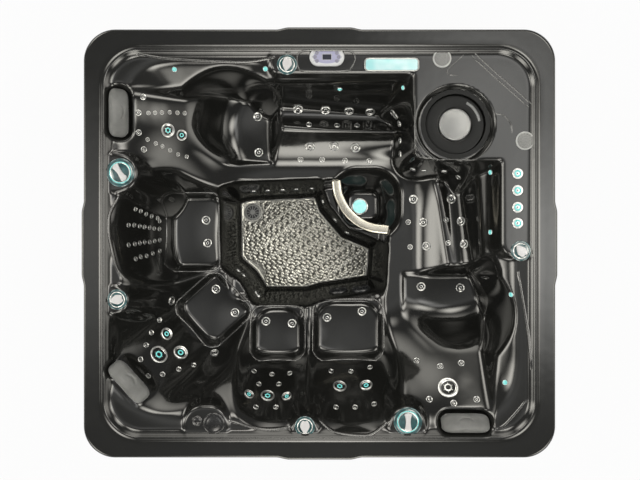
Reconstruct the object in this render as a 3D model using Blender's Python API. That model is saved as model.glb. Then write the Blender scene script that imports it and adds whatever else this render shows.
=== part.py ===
"""Hot tub with two loungers, three bucket seats and a corner seat.

The acrylic shell is a height field: seats, leg channels, footwell and filter
block are written as pockets and ledges, and the lowest pocket wins. Every
fitting is placed on that surface. Metres, +Z up, origin under the middle.
Plan places are shares of the half length (X) and half width (Y).
"""
import math

import bmesh
import bpy
import numpy as np
from mathutils import Matrix, Vector
from mathutils.geometry import delaunay_2d_cdt

# Whole tub
TUB_LENGTH = 2.200
TUB_WIDTH = 2.000
TUB_HEIGHT = 0.900
CLEARANCE = 0.0003
HALF_LENGTH = TUB_LENGTH / 2
HALF_WIDTH = TUB_WIDTH / 2

# Shell: lip, flat rim and raised ridge
SHELL_WALL = 0.012
SLOPE_WALL_MOST = 2.6
UNDER_REACH = 0.018
LIP_WALL = 0.008
LIP_DROP = 0.070
LIP_DRAFT = 0.002
LIP_EDGE_RADIUS = 0.012
LIP_CORNER_RADIUS = 0.145
LIP_BULGE = 0.010
BULGE_LENGTH = 0.400
BULGE_RAMP = 0.060
RIDGE_INSET = 0.098
RIDGE_BREADTH = 0.012
RIDGE_RISE = 0.006
RIDGE_CORNER_RADIUS = 0.170

# Shell: its mesh, close along bends and sparse on flats
RIM_STOPS = 7
CORNER_STOPS = 5
CANDIDATE_STEP = 0.012
MESH_LEAST = 0.025
MESH_MOST = 0.080
MESH_SHARP_TURN = 8.0
MESH_SOFT_TURN = 0.02
MESH_GRADING = 0.26

# Shell: deck, the slope inside it, the ledges that stand on the slope, and the loungers' shallow dishes
DECK_DROP = 0.012
DECK_STEP = 0.020
DECK_LEAST = 0.022
DECK_GUARD_SLOPE = 5.0
CREST_INSET = 0.030
DIVIDER_DEPTH = 0.390
DIVIDER_RUN = 0.500
DIVIDER_CORNER_BLEND = 0.300
LEDGE_SLOPE = 2.5
LEDGE_BLEND = 0.020
POCKET_BLEND = 0.045
WALL_SLOPE = 8.0
WALL_ROUNDING = 0.008
FRONT_ROUNDING = 0.010
SIDE_ROUNDING = 0.022
BACK_ROUNDING = 0.030
LEDGE_BOXES = {
    "panel_ledge": {"place_share": (0.187, 0.855), "half_size": (0.430, 0.066), "corner": 0.030},
    "spout_ledge": {"place_share": (0.885, 0.190), "half_size": (0.130, 0.250), "corner": 0.060},
    "valve_ledge_left": {"place_share": (-0.860, -0.262), "half_size": (0.062, 0.062), "corner": 0.060},
    "valve_ledge_bottom": {"place_share": (-0.061, -0.860), "half_size": (0.058, 0.060), "corner": 0.056},
    "diverter_ledge_left": {"place_share": (-0.850, 0.327), "half_size": (0.092, 0.088), "corner": 0.086},
    "diverter_ledge_bottom": {"place_share": (0.371, -0.840), "half_size": (0.082, 0.084), "corner": 0.080},
    "cap_ledge": {"place_share": (-0.478, -0.840), "half_size": (0.100, 0.090), "corner": 0.085},
}
DISH_SLOPE = 0.75
DISH_REACH = 0.160
DISH_CORNER_BLEND = 0.160
DISH_ROUNDING = 0.020
DISH_FLOOR_ROUNDING = 0.060
DISH_OUTLINE_SHARES = {
    "top_dish": (
        (-0.850, 0.790), (-0.790, 0.855), (-0.130, 0.855), (-0.110, 0.400), (-0.850, 0.400)),
    "right_dish": (
        (0.380, 0.365), (0.782, 0.365), (0.868, -0.250), (0.884, -0.560), (0.868, -0.720),
        (0.790, -0.820), (0.400, -0.820)),
}

# Seats: pan place, heading of the back in degrees, and sizes
PAN_DEPTH = 0.420
PAN_RECESS = 0.016
PAN_EDGE = 0.026
PAN_HOLLOW = 0.014
BACK_TOP_DEPTH = 0.030
BACK_BOW = 0.045
SEATS = {
    "left_seat": {
        "place_share": (-0.586, 0.057), "heading_deg": 180.0, "depth": PAN_DEPTH,
        "half_deep": 0.136, "half_wide": 0.196, "front": 0.230, "back_run": 0.175,
        "side_slope": 2.0, "front_corner": 0.060, "back_corner": 0.080},
    "corner_seat": {
        "place_share": (-0.500, -0.345), "heading_deg": 222.0, "depth": PAN_DEPTH,
        "half_deep": 0.145, "half_wide": 0.150, "front": 0.260, "back_run": 0.350,
        "side_slope": 1.6, "front_corner": 0.040, "back_corner": 0.075},
    "bottom_seat_near": {
        "place_share": (-0.197, -0.462), "heading_deg": 270.0, "depth": PAN_DEPTH,
        "half_deep": 0.135, "half_wide": 0.134, "front": 0.230, "back_run": 0.255,
        "side_slope": 2.4, "front_corner": 0.115, "back_corner": 0.040},
    "bottom_seat_far": {
        "place_share": (0.135, -0.445), "heading_deg": 270.0, "depth": PAN_DEPTH,
        "half_deep": 0.150, "half_wide": 0.176, "front": 0.230, "back_run": 0.268,
        "side_slope": 2.4, "front_corner": 0.110, "back_corner": 0.045},
}

# Loungers: a bucket whose outer side bows, a steep rise to a knee ridge, and a reclined back
LOUNGER_DEPTH = 0.400
LOUNGER_HOLLOW = 0.020
LOUNGER_START = 0.060
LOUNGER_ROUNDING = 0.100
LOUNGER_FRONT_SLOPE = 3.0
LOUNGER_STEEPNESS = 1.700
LOUNGER_KNEE = 0.152
LOUNGER_KNEE_DEPTH = 0.240
LOUNGER_TOP = 0.490
LOUNGERS = {
    "top_lounger": {
        "place_share": (-0.408, 0.578), "heading_deg": 180.0, "half_deep": 0.200,
        "half_wide": 0.172, "front": 0.205, "bow_side": -1, "bow": 0.055, "side_slope": 5.5},
    "right_lounger": {
        "place_share": (0.572, -0.346), "heading_deg": 270.0, "half_deep": 0.182,
        "half_wide": 0.205, "front": 0.190, "bow_side": 1, "bow": 0.050, "side_slope": 5.5},
}

# Leg channels, two to a lounger, with a hump between seat and channels
LEG_DEPTH = 0.320
LEG_FALL = 0.040
LEG_HOLLOW = 0.060
LEG_END_SLOPE = 4.0
LEG_END_ROUNDING = 0.024
LEG_CHANNELS = {
    "top_upper": {"place_share": (0.085, 0.645), "heading_deg": 0.0, "half_long": 0.315,
                  "half_wide": 0.082},
    "top_lower": {"place_share": (0.085, 0.474), "heading_deg": 0.0, "half_long": 0.315,
                  "half_wide": 0.079},
    "right_inner": {"place_share": (0.452, 0.100), "heading_deg": 94.0, "half_long": 0.232,
                    "half_wide": 0.074},
    "right_outer": {"place_share": (0.612, 0.100), "heading_deg": 94.0, "half_long": 0.232,
                    "half_wide": 0.078},
}

# Footwell, its corner step and the bowl that holds the light
FLOOR_DEPTH = 0.830
FLOOR_OUTLINE_SHARES = (
    (-0.426, 0.241), (-0.360, 0.258), (-0.014, 0.275), (0.013, 0.189), (0.060, 0.126), (0.124, 0.045),
    (0.234, -0.005), (0.271, -0.024), (0.261, -0.203), (0.013, -0.243), (-0.070, -0.270), (-0.283, -0.269),
    (-0.341, -0.168), (-0.420, -0.094),
)
FOOTWELL_MOUTH_DEPTH = 0.450
MOUTH_SHARE = (-0.066, 0.008)
MOUTH_HALF_SIZE = (0.397, 0.292)
MOUTH_CORNER = 0.060
MOUTH_SLOPE = 3.3
STEP_DEPTH = 0.560
STEP_SHARE = (0.159, 0.151)
STEP_HALF_SIZE = (0.160, 0.154)
STEP_CORNER = 0.030
BOWL_DEPTH = 0.640
BOWL_SHARE = (0.215, 0.203)
BOWL_HALF_SIZE = (0.088, 0.082)
BOWL_CORNER = 0.045

# Filter block in the corner, with the round dish that the skimmer stands in
BLOCK_CORNER_SHARE = (0.394, 0.385)
BLOCK_EDGE_RADIUS = 0.060
BLOCK_SLOPE = 7.0
BLOCK_FAR_SLOPE = 2.5
BLOCK_STEEP_REACH = 0.150
SKIMMER_SHARE = (0.576, 0.556)
SKIMMER_SINK = 0.030
SINK_RADIUS = 0.165
SINK_RUN = 0.022
SINK_SHIFT = 0.008
SINK_HEADING_DEG = 225.0

# Skimmer canister, ring, cartridge and float
CANISTER_RADIUS = 0.145
CANISTER_WALL = 0.004
CANISTER_DEPTH = 0.400
CANISTER_FLANGE_RADIUS = 0.162
CANISTER_FLANGE = 0.004
RING_RADIUS = 0.138
RING_HOLE_RADIUS = 0.078
RING_THICKNESS = 0.010
RING_SINK = 0.014
SLOT_RADIUS = 0.117
SLOT_WIDTH = 0.016
SLOT_START_DEG = 8.0
SLOT_SWEEP_DEG = 54.0
CARTRIDGE_RADIUS = 0.100
CARTRIDGE_LENGTH = 0.300
CARTRIDGE_PLEATS = 24
CARTRIDGE_PLEAT_DEPTH = 0.010
CARTRIDGE_HANGER_RADIUS = 0.092
FLOAT_RADIUS = 0.074
FLOAT_DOME = 0.016
FLOAT_SKIRT = 0.012
FLOAT_TRAVEL = 0.020

# Base pan, posts, top frame and cabinet
CABINET_INSET = 0.040
CABINET_CORNER_RADIUS = 0.100
CABINET_TOP_GAP = 0.040
PANEL_LIP_GAP = 0.003
PAN_SLAB = 0.028
POST_SIZE = 0.120
POST_WALL = 0.018
PANEL_THICKNESS = 0.018
PANEL_BOARDS = 5
BOARD_GROOVE = 0.006
PANEL_END_GAP = 0.002
FRAME_SECTION_WIDE = 0.033
FRAME_SECTION_HIGH = 0.050
FRAME_TOP_GAP = 0.0255
FRAME_CORNER_RADIUS = 0.085

# Equipment behind the access panel
BOX_SIZE = (0.360, 0.110, 0.240)
BOX_SHARE = (0.060, 0.860)
BOX_STAND = 0.160
HEATER_RADIUS = 0.032
HEATER_LENGTH = 0.340
HEATER_SHARE = (0.060, 0.760)
HEATER_STAND = 0.090
PUMP_SHARE = (0.520, 0.740)
MOTOR_RADIUS = 0.075
MOTOR_LENGTH = 0.230
WET_END_RADIUS = 0.095
WET_END_LENGTH = 0.080
WET_END_PORT_RADIUS = 0.031
WET_END_PORT_LENGTH = 0.060
CIRCULATION_SHARE = (-0.300, 0.840)
CIRCULATION_RADIUS = 0.055
CIRCULATION_LENGTH = 0.180
BLOWER_SHARE = (-0.580, 0.850)
BLOWER_RADIUS = 0.075
BLOWER_HEIGHT = 0.200
SUCTION_PIPE_RADIUS = 0.025
SUCTION_PIPE_SHARES = (
    (0.120, -0.420, 0.220), (0.250, -0.450, 0.120), (0.390, -0.400, 0.095), (0.430, -0.200, 0.090),
    (0.430, 0.150, 0.090), (0.370, 0.520, 0.095), (0.320, 0.690, 0.130), (0.345, 0.738, 0.137),
)
SUCTION_PIPE_POINTS = 26

# Drain
DRAIN_SHARE = (-0.750, 0.0)
DRAIN_HEIGHT = 0.070
DRAIN_RADIUS = 0.016
DRAIN_FLANGE_RADIUS = 0.026
DRAIN_REACH = 0.030
DRAIN_WALL = 0.003
DRAIN_CAP_RADIUS = 0.022
DRAIN_CAP_LENGTH = 0.024
FLOOR_DRAIN_SHARE = (-0.352, 0.177)
FLOOR_DRAIN_RADIUS = 0.045
FLOOR_DRAIN_RISE = 0.008

# Control panel
PANEL_SHARE = (0.031, 0.858)
PANEL_LENGTH = 0.160
PANEL_WIDTH = 0.082
PANEL_THICK = 0.012
PANEL_FLANGE = 0.004
DISPLAY_LENGTH = 0.040
DISPLAY_WIDTH = 0.024
DISPLAY_SINK = 0.003
BUTTON_RADIUS = 0.0085
BUTTON_RISE = 0.0018
BUTTON_SINK = 0.006
BUTTON_RING_RADIUS = 0.017
BUTTON_CLUSTER = 0.046
BUTTON_ANGLES_DEG = (-60.0, 0.0, 60.0)

# Waterfall, speakers, light, suction covers
WATERFALL_SHARE = (0.302, 0.823)
WATERFALL_LENGTH = 0.255
WATERFALL_WIDTH = 0.064
WATERFALL_SLOT_LENGTH = 0.226
WATERFALL_SLOT_WIDTH = 0.034
WATERFALL_SLOT_DEPTH = 0.006
SPEAKER_SHARES = ((0.514, 0.854), (0.862, 0.474))
SPEAKER_RADIUS = 0.043
SPEAKER_RISE = 0.007
LIGHT_SHARE = (0.201, 0.201)
LIGHT_RADIUS = 0.046
LIGHT_RISE = 0.010
SUCTION_SHARES = ((0.092, -0.262), (0.201, -0.250))
SUCTION_DEPTH = 0.600
SUCTION_RADIUS = 0.052
SUCTION_DOME = 0.018
SUCTION_SEARCH_STEPS = 200

# Valves, diverters
DIVERTER_SHARES = ((-0.836, 0.327), (0.371, -0.822))
DIVERTER_RADIUS = 0.066
DIVERTER_RISE = 0.008
DIVERTER_COLLAR_RADIUS = 0.046
DIVERTER_HANDLE_LENGTH = 0.086
DIVERTER_HANDLE_END = 0.044
DIVERTER_HANDLE_WAIST = 0.024
DIVERTER_HANDLE_HEIGHT = 0.010
DIVERTER_HEADINGS_DEG = (45.0, 0.0)
VALVE_SHARES = ((-0.136, 0.826), (-0.849, -0.259), (-0.061, -0.844), (0.845, -0.034))
VALVE_RADIUS = 0.047
VALVE_RISE = 0.006
VALVE_HANDLE_LENGTH = 0.066
VALVE_HANDLE_HEAD = 0.046
VALVE_HANDLE_STEM = 0.016
VALVE_HANDLE_HEIGHT = 0.009
VALVE_HEADINGS_DEG = (-10.0, -75.0, 0.0, -140.0)
BARREL_RADIUS = 0.020
BARREL_DEPTH = 0.050

# Jets that carry their own node
JET_FLANGE = 0.005
JET_EYE_RADIUS_SHARE = 0.52
JET_DISH = 0.010
JETS = {
    "corner_back_jet": {"place_share": (-0.720, -0.548), "radius": 0.040},
    "lounger_back_jet": {"place_share": (0.559, -0.689), "radius": 0.044},
    "top_lounger_jet": {"place_share": (-0.666, 0.546), "radius": 0.030},
    "near_seat_jet": {"place_share": (-0.230, -0.743), "radius": 0.030},
    "far_seat_jet": {"place_share": (0.091, -0.709), "radius": 0.030},
}

# Pillows
PILLOW_LENGTH = 0.220
PILLOW_HEIGHT = 0.096
PILLOW_THICKNESS = 0.046
PILLOW_DRAW = 0.006
PILLOW_CREASE = 0.003
PILLOW_CREASE_RADIUS = 0.034
PILLOW_BACK_SHARE = 0.28
PILLOW_TILT_DEG = 38.0
NEST_GAP = 0.002
NEST_BLEND = 0.022
PILLOWS = {
    "pillow_top_lounger": {"place_share": (-0.852, 0.608), "heading_deg": 180.0, "depth": 0.040},
    "pillow_corner_seat": {"place_share": (-0.806, -0.643), "heading_deg": 222.0, "depth": 0.036},
    "pillow_right_lounger": {"place_share": (0.617, -0.838), "heading_deg": 270.0, "depth": 0.040},
}

# Grab rail in the footwell
RAIL_DEPTH = 0.450
RAIL_SHARES = ((0.080, 0.326), (0.090, 0.256), (0.124, 0.180), (0.180, 0.118), (0.246, 0.082), (0.326,
                                                                                                0.070))
RAIL_BREADTH = 0.052
RAIL_HEIGHT = 0.024
RAIL_POINTS = 13

# Sides of round pieces
COARSE_SIDES = 12
ROUND_SIDES = 20
WELL_SIDES = 28


def smooth_step(t):
    """0 below 0, 1 above 1, and a soft S between."""
    t = np.clip(t, 0.0, 1.0)
    return t * t * (3.0 - 2.0 * t)


def smooth_low(a, b, blend):
    """The lower of two surfaces, with the valley between them rounded over a blend height."""
    h = np.clip(0.5 + 0.5 * (b - a) / blend, 0.0, 1.0)
    return b * (1.0 - h) + a * h - blend * h * (1.0 - h)


def smooth_high(a, b, blend):
    """The higher of two surfaces, with the crease between them rounded over a blend height."""
    return -smooth_low(-a, -b, blend)


def spot(share):
    """A plan place in metres from its shares of the half length and half width."""
    return share[0] * HALF_LENGTH, share[1] * HALF_WIDTH


def hole_radius(radius, sides):
    """Radius of a hole whose flats still clear a round piece of a radius."""
    return (radius + CLEARANCE) / math.cos(math.pi / sides)


def turned_plan(x, y, centre, heading_deg):
    """Plan places seen from a centre: u runs along the heading, v to its left."""
    c = math.cos(math.radians(heading_deg))
    s = math.sin(math.radians(heading_deg))
    dx = x - centre[0]
    dy = y - centre[1]
    return dx * c + dy * s, dy * c - dx * s


def outside_box(u, v, half_size, corner):
    """Distance to a rounded rectangle round the origin, negative inside it."""
    qx = np.abs(u) - half_size[0] + corner
    qy = np.abs(v) - half_size[1] + corner
    return np.hypot(np.maximum(qx, 0.0), np.maximum(qy, 0.0)) + np.minimum(np.maximum(qx, qy), 0.0) - corner


def outside_outline(x, y, points):
    """Distance to a closed outline, negative inside it."""
    nearest = np.full(np.shape(x), np.inf)
    inside = np.zeros(np.shape(x), dtype=bool)
    for (ax, ay), (bx, by) in zip(points, points[1:] + points[:1]):
        ex, ey = bx - ax, by - ay
        t = np.clip(((x - ax) * ex + (y - ay) * ey) / (ex * ex + ey * ey), 0.0, 1.0)
        nearest = np.minimum(nearest, np.hypot(x - ax - t * ex, y - ay - t * ey))
        crosses = (ay > y) != (by > y)
        inside ^= crosses & (x < ax + ex * (y - ay) / (ey if ey else math.inf))
    return np.where(inside, -nearest, nearest)


def soft_ramp(distance, width):
    """Zero below zero and the distance above it, with the bend rounded over a width on either side."""
    bend = np.clip(distance / width, -1.0, 1.0) + 1.0
    return np.where(distance > width, distance, width * bend * bend / 4.0)


def bowl_share(u, v, half_u, half_v):
    """1 in the middle of a rectangle, falling to 0 at its sides along two parabolas."""
    return np.clip(1.0 - (u / half_u) ** 2, 0.0, 1.0) * np.clip(1.0 - (v / half_v) ** 2, 0.0, 1.0)


def seat_surface(x, y, seat):
    """A seat's hollowed pan in its recess, a bowed back that climbs to the deck, and steeper sides."""
    u, v = turned_plan(x, y, spot(seat["place_share"]), seat["heading_deg"])
    climb = seat["depth"] - BACK_TOP_DEPTH
    bow = BACK_BOW * np.clip(v / seat["half_wide"], -2.0, 2.0) ** 2
    back = soft_ramp(u + bow - seat["half_deep"], BACK_ROUNDING) * climb / seat["back_run"]
    side = soft_ramp(np.abs(v) - seat["half_wide"], SIDE_ROUNDING) * seat["side_slope"]
    front = soft_ramp(-u - seat["front"], FRONT_ROUNDING) * WALL_SLOPE
    rise = np.hypot(np.hypot(back, side), front)
    corner = np.where(u > 0.0, seat["back_corner"], seat["front_corner"])
    pan = outside_box(u, v, (seat["half_deep"], seat["half_wide"]), corner)
    hollow = PAN_HOLLOW * bowl_share(u, v, seat["half_deep"], seat["half_wide"])
    return rise - seat["depth"] - PAN_RECESS * smooth_step(-pan / PAN_EDGE) - hollow


def lounger_surface(x, y, lounger):
    """A lounger's bucket: a steep rise to the knee ridge, then a reclined back, with one bowed side."""
    u, v = turned_plan(x, y, spot(lounger["place_share"]), lounger["heading_deg"])
    bow = BACK_BOW * np.clip(v / lounger["half_wide"], -2.0, 2.0) ** 2
    steep = soft_ramp(u + bow - LOUNGER_START, LOUNGER_ROUNDING) * LOUNGER_STEEPNESS
    recline = (LOUNGER_KNEE_DEPTH - BACK_TOP_DEPTH) / (LOUNGER_TOP - LOUNGER_KNEE)
    reclined = LOUNGER_DEPTH - LOUNGER_KNEE_DEPTH + (u + bow - LOUNGER_KNEE) * recline
    back = np.maximum(smooth_low(steep, reclined, POCKET_BLEND), 0.0)
    bowed = lounger["bow"] * np.minimum((u / lounger["half_deep"]) ** 2,
                                        1.0) * (v * lounger["bow_side"] > 0.0)
    side = soft_ramp(np.abs(v) + bowed - lounger["half_wide"], SIDE_ROUNDING) * lounger["side_slope"]
    front = soft_ramp(-u - lounger["front"], SIDE_ROUNDING) * LOUNGER_FRONT_SLOPE
    rise = np.hypot(np.hypot(back, side), front)
    hollow = LOUNGER_HOLLOW * bowl_share(u, v, lounger["half_deep"], lounger["half_wide"])
    return rise - LOUNGER_DEPTH - hollow


def dish_surface(x, y, shares):
    """A shallow dish that falls inwards from its clockwise outline, then keeps its depth."""
    corners = [spot(share) for share in shares]
    inward = np.full(np.shape(x), HALF_LENGTH)
    for (ax, ay), (bx, by) in zip(corners, corners[1:] + corners[:1]):
        reach = ((x - ax) * (by - ay) - (y - ay) * (bx - ax)) / math.hypot(bx - ax, by - ay)
        inward = smooth_low(inward, reach, DISH_CORNER_BLEND)
    fall = soft_ramp(inward, DISH_ROUNDING) - soft_ramp(inward - DISH_REACH, DISH_FLOOR_ROUNDING)
    return -DECK_DROP - DISH_SLOPE * fall


def leg_surface(x, y, channel):
    """A leg channel: a hollow trough that falls a little towards the foot end, then a steep end wall."""
    u, v = turned_plan(x, y, spot(channel["place_share"]), channel["heading_deg"])
    trough = LEG_HOLLOW * np.minimum((v / channel["half_wide"]) ** 2, 1.0)
    side = soft_ramp(np.abs(v) - channel["half_wide"], WALL_ROUNDING) * WALL_SLOPE
    end = soft_ramp(np.abs(u) - channel["half_long"], LEG_END_ROUNDING) * LEG_END_SLOPE
    fall = LEG_FALL * np.clip(u / channel["half_long"], -1.0, 1.0)
    return trough + side + end - LEG_DEPTH - fall


def ledge_surface(x, y, ledge):
    """A flat ledge at deck height that keeps the deck wide under a fitting."""
    u, v = turned_plan(x, y, spot(ledge["place_share"]), 0.0)
    away = np.maximum(outside_box(u, v, ledge["half_size"], ledge["corner"]), 0.0)
    return -DECK_DROP - away * LEDGE_SLOPE


def skimmer_dish(x, y):
    """The round dish round the skimmer, a little off its axis towards the tub."""
    sx, sy = spot(SKIMMER_SHARE)
    u, v = turned_plan(x, y, (sx, sy), SINK_HEADING_DEG)
    radius = np.hypot(u - SINK_SHIFT, v)
    return -SKIMMER_SINK * (1.0 - smooth_step((radius - SINK_RADIUS) / SINK_RUN))


def laid_pillow(x, y, pillow, height):
    """The surface with a tilted flat under one pillow, blended into what is round it."""
    u, v = turned_plan(x, y, spot(pillow["place_share"]), pillow["heading_deg"])
    tilt = math.radians(PILLOW_TILT_DEG)
    back = (PILLOW_BACK_SHARE * PILLOW_THICKNESS + NEST_GAP) / math.cos(tilt)
    nest = u * math.tan(tilt) - pillow["depth"] - back
    half = (PILLOW_HEIGHT / 2 * math.cos(tilt), PILLOW_LENGTH / 2)
    cover = 1.0 - smooth_step(outside_box(u, v, half, PILLOW_CREASE_RADIUS) / NEST_BLEND)
    return height * (1.0 - cover) + nest * cover


def shell_surface(x, y):
    """Height of the shell's upper face over the flat of the rim, for arrays of plan places."""
    ridge_half = (HALF_LENGTH - LIP_BULGE - RIDGE_INSET, HALF_WIDTH - LIP_BULGE - RIDGE_INSET)
    inset = -outside_box(x, y, ridge_half, RIDGE_CORNER_RADIUS)
    bead = RIDGE_RISE * np.exp(-(inset / RIDGE_BREADTH) ** 2)
    deck = -DECK_DROP * smooth_step(inset / DECK_STEP)
    funnel = smooth_low(ridge_half[0] - np.abs(x), ridge_half[1] - np.abs(y), DIVIDER_CORNER_BLEND)
    height = deck - DIVIDER_DEPTH * smooth_step((funnel - CREST_INSET) / DIVIDER_RUN)
    for shares in DISH_OUTLINE_SHARES.values():
        height = smooth_low(height, dish_surface(x, y, shares), LEDGE_BLEND)
    for seat in SEATS.values():
        height = smooth_low(height, seat_surface(x, y, seat), POCKET_BLEND)
    for lounger in LOUNGERS.values():
        height = smooth_low(height, lounger_surface(x, y, lounger), POCKET_BLEND)
    for channel in LEG_CHANNELS.values():
        height = smooth_low(height, leg_surface(x, y, channel), POCKET_BLEND)
    mouth_u, mouth_v = turned_plan(x, y, spot(MOUTH_SHARE), 0.0)
    mouth = soft_ramp(outside_box(mouth_u, mouth_v, MOUTH_HALF_SIZE, MOUTH_CORNER), BACK_ROUNDING)
    height = smooth_low(height, mouth * MOUTH_SLOPE - FOOTWELL_MOUTH_DEPTH, POCKET_BLEND)
    step_u, step_v = turned_plan(x, y, spot(STEP_SHARE), 0.0)
    step = soft_ramp(outside_box(step_u, step_v, STEP_HALF_SIZE, STEP_CORNER), WALL_ROUNDING)
    height = smooth_low(height, step * WALL_SLOPE - STEP_DEPTH, POCKET_BLEND)
    bowl_u, bowl_v = turned_plan(x, y, spot(BOWL_SHARE), 0.0)
    bowl = soft_ramp(outside_box(bowl_u, bowl_v, BOWL_HALF_SIZE, BOWL_CORNER), SIDE_ROUNDING)
    height = smooth_low(height, bowl * LEDGE_SLOPE - BOWL_DEPTH, POCKET_BLEND)
    outline = [spot(share) for share in FLOOR_OUTLINE_SHARES]
    floor = soft_ramp(outside_outline(x, y, outline), WALL_ROUNDING)
    height = smooth_low(height, floor * WALL_SLOPE - FLOOR_DEPTH, POCKET_BLEND)
    for ledge in LEDGE_BOXES.values():
        height = smooth_high(height, ledge_surface(x, y, ledge), LEDGE_BLEND)
    block_x, block_y = spot(BLOCK_CORNER_SHARE)
    block_half = ((HALF_LENGTH - block_x), (HALF_WIDTH - block_y))
    block_u, block_v = turned_plan(x, y, (block_x + block_half[0], block_y + block_half[1]), 0.0)
    block_away = np.maximum(outside_box(block_u, block_v, block_half, BLOCK_EDGE_RADIUS), 0.0)
    from_corner = np.hypot(x - block_x, y - block_y)
    ease = smooth_step((from_corner - BLOCK_STEEP_REACH) / BLOCK_STEEP_REACH)
    block_slope = BLOCK_SLOPE + (BLOCK_FAR_SLOPE - BLOCK_SLOPE) * ease
    block = skimmer_dish(x, y) - DECK_DROP - block_away * block_slope
    height = smooth_high(height, block, LEDGE_BLEND)
    guard = -DECK_DROP - np.maximum(inset - DECK_LEAST, 0.0) * DECK_GUARD_SLOPE
    height = np.minimum(smooth_high(height, guard, LEDGE_BLEND), deck)
    height = deck + (height - deck) * smooth_step(inset / DECK_STEP)
    for pillow in PILLOWS.values():
        height = laid_pillow(x, y, pillow, height)
    return height + bead


def surface_normal(x, y):
    """Unit normal of the upper face at one place, by differences over a wall's thickness."""
    step = SHELL_WALL
    xs = np.array([x - step, x + step, x, x])
    ys = np.array([y, y, y - step, y + step])
    h = shell_surface(xs, ys)
    return Vector(((h[0] - h[1]) / (2 * step), (h[2] - h[3]) / (2 * step), 1.0)).normalized()


def surface_point(x, y, above=0.0):
    """A point on the upper face, or above it along the normal."""
    height = float(shell_surface(np.array([x]), np.array([y]))[0])
    return Vector((x, y, TUB_HEIGHT + height)) + surface_normal(x, y) * above


def make_material(name, colour, roughness, metallic=0.0):
    """A Principled material of one colour."""
    material = bpy.data.materials.new(name)
    material.use_nodes = True
    shader = material.node_tree.nodes["Principled BSDF"]
    shader.inputs["Base Color"].default_value = (*colour, 1.0)
    shader.inputs["Roughness"].default_value = roughness
    shader.inputs["Metallic"].default_value = metallic
    return material


ACRYLIC = ((0.030, 0.030, 0.027), 0.12, 0.0)
BLACK_PLASTIC = ((0.020, 0.020, 0.020), 0.35, 0.0)
GREY_PLASTIC = ((0.350, 0.350, 0.340), 0.40, 0.0)
WHITE_PLASTIC = ((0.800, 0.800, 0.780), 0.30, 0.0)
TEAL_PLASTIC = ((0.050, 0.250, 0.250), 0.25, 0.0)
STEEL = ((0.600, 0.600, 0.580), 0.25, 1.0)
SOFT_GREY = ((0.160, 0.160, 0.150), 0.60, 0.0)
CABINET_GREY = ((0.070, 0.072, 0.075), 0.55, 0.0)
TIMBER = ((0.450, 0.320, 0.200), 0.70, 0.0)
LIT_LENS = ((0.350, 0.900, 0.850), 0.20, 0.0)
FILTER_WHITE = ((0.750, 0.760, 0.780), 0.80, 0.0)


def add_object(name, bm, finish, location=(0.0, 0.0, 0.0), parent=None, rotation=None, smooth_deg=None):
    """Turns a bmesh into a named object with its own material."""
    bmesh.ops.recalc_face_normals(bm, faces=bm.faces)
    mesh = bpy.data.meshes.new(name)
    bm.to_mesh(mesh)
    bm.free()
    mesh.materials.append(make_material(name, *finish))
    if smooth_deg is not None:
        mesh.shade_smooth()
        mesh.set_sharp_from_angle(angle=math.radians(smooth_deg))
    obj = bpy.data.objects.new(name, mesh)
    bpy.context.scene.collection.objects.link(obj)
    obj.location = location
    if rotation is not None:
        obj.rotation_mode = "QUATERNION"
        obj.rotation_quaternion = rotation
    obj.parent = parent
    return obj


def turned(profile, sides):
    """A piece turned about Z from (radius, height) points; points at radius 0 close it."""
    bm = bmesh.new()
    verts = [bm.verts.new((radius, 0.0, height)) for radius, height in profile]
    edges = [bm.edges.new(pair) for pair in zip(verts, verts[1:])]
    if profile[0][0] > 0.0:
        edges.append(bm.edges.new((verts[-1], verts[0])))
    bmesh.ops.spin(
        bm, geom=verts + edges, axis=(0, 0, 1), cent=(0, 0, 0), angle=math.tau, steps=sides, use_merge=True)
    bmesh.ops.remove_doubles(bm, verts=bm.verts, dist=CLEARANCE / 10)
    return bm


def slab(outline, bottom, top):
    """An outline in plan, pulled up between two heights."""
    bm = bmesh.new()
    face = bm.faces.new([bm.verts.new((x, y, bottom)) for x, y in outline])
    pulled = bmesh.ops.extrude_face_region(bm, geom=[face])["geom"]
    moved = [item for item in pulled if isinstance(item, bmesh.types.BMVert)]
    bmesh.ops.translate(bm, verts=moved, vec=(0.0, 0.0, top - bottom))
    return bm


def block(size, bevel=0.0):
    """A box round the origin, with its edges cut off by a bevel."""
    bm = bmesh.new()
    bmesh.ops.create_cube(bm, size=1.0)
    bmesh.ops.scale(bm, verts=bm.verts, vec=size)
    if bevel > 0.0:
        bmesh.ops.bevel(bm, geom=bm.edges[:], offset=bevel, segments=1, affect="EDGES")
    return bm


def rounded_rectangle(half_x, half_y, radius, arc_steps):
    """Points of a rounded rectangle, anticlockwise from its right side."""
    points = []
    for quarter, (sx, sy) in enumerate(((1, 1), (-1, 1), (-1, -1), (1, -1))):
        for step in range(arc_steps + 1):
            angle = math.radians(90.0 * quarter + 90.0 * step / arc_steps)
            points.append((
                sx * (half_x - radius) + radius * math.cos(angle),
                sy * (half_y - radius) + radius * math.sin(angle)))
    return points


def add_cut(target, cutters, solver="EXACT"):
    """Takes a collection of cutters out of an object."""
    collection = bpy.data.collections.new(target.name + "_cutters")
    bpy.context.scene.collection.children.link(collection)
    for cutter in cutters:
        bpy.context.scene.collection.objects.unlink(cutter)
        collection.objects.link(cutter)
        cutter.hide_render = True
        cutter.display_type = "WIRE"
    cut = target.modifiers.new("cut", "BOOLEAN")
    cut.operation = "DIFFERENCE"
    cut.operand_type = "COLLECTION"
    cut.collection = collection
    cut.solver = solver


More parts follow.
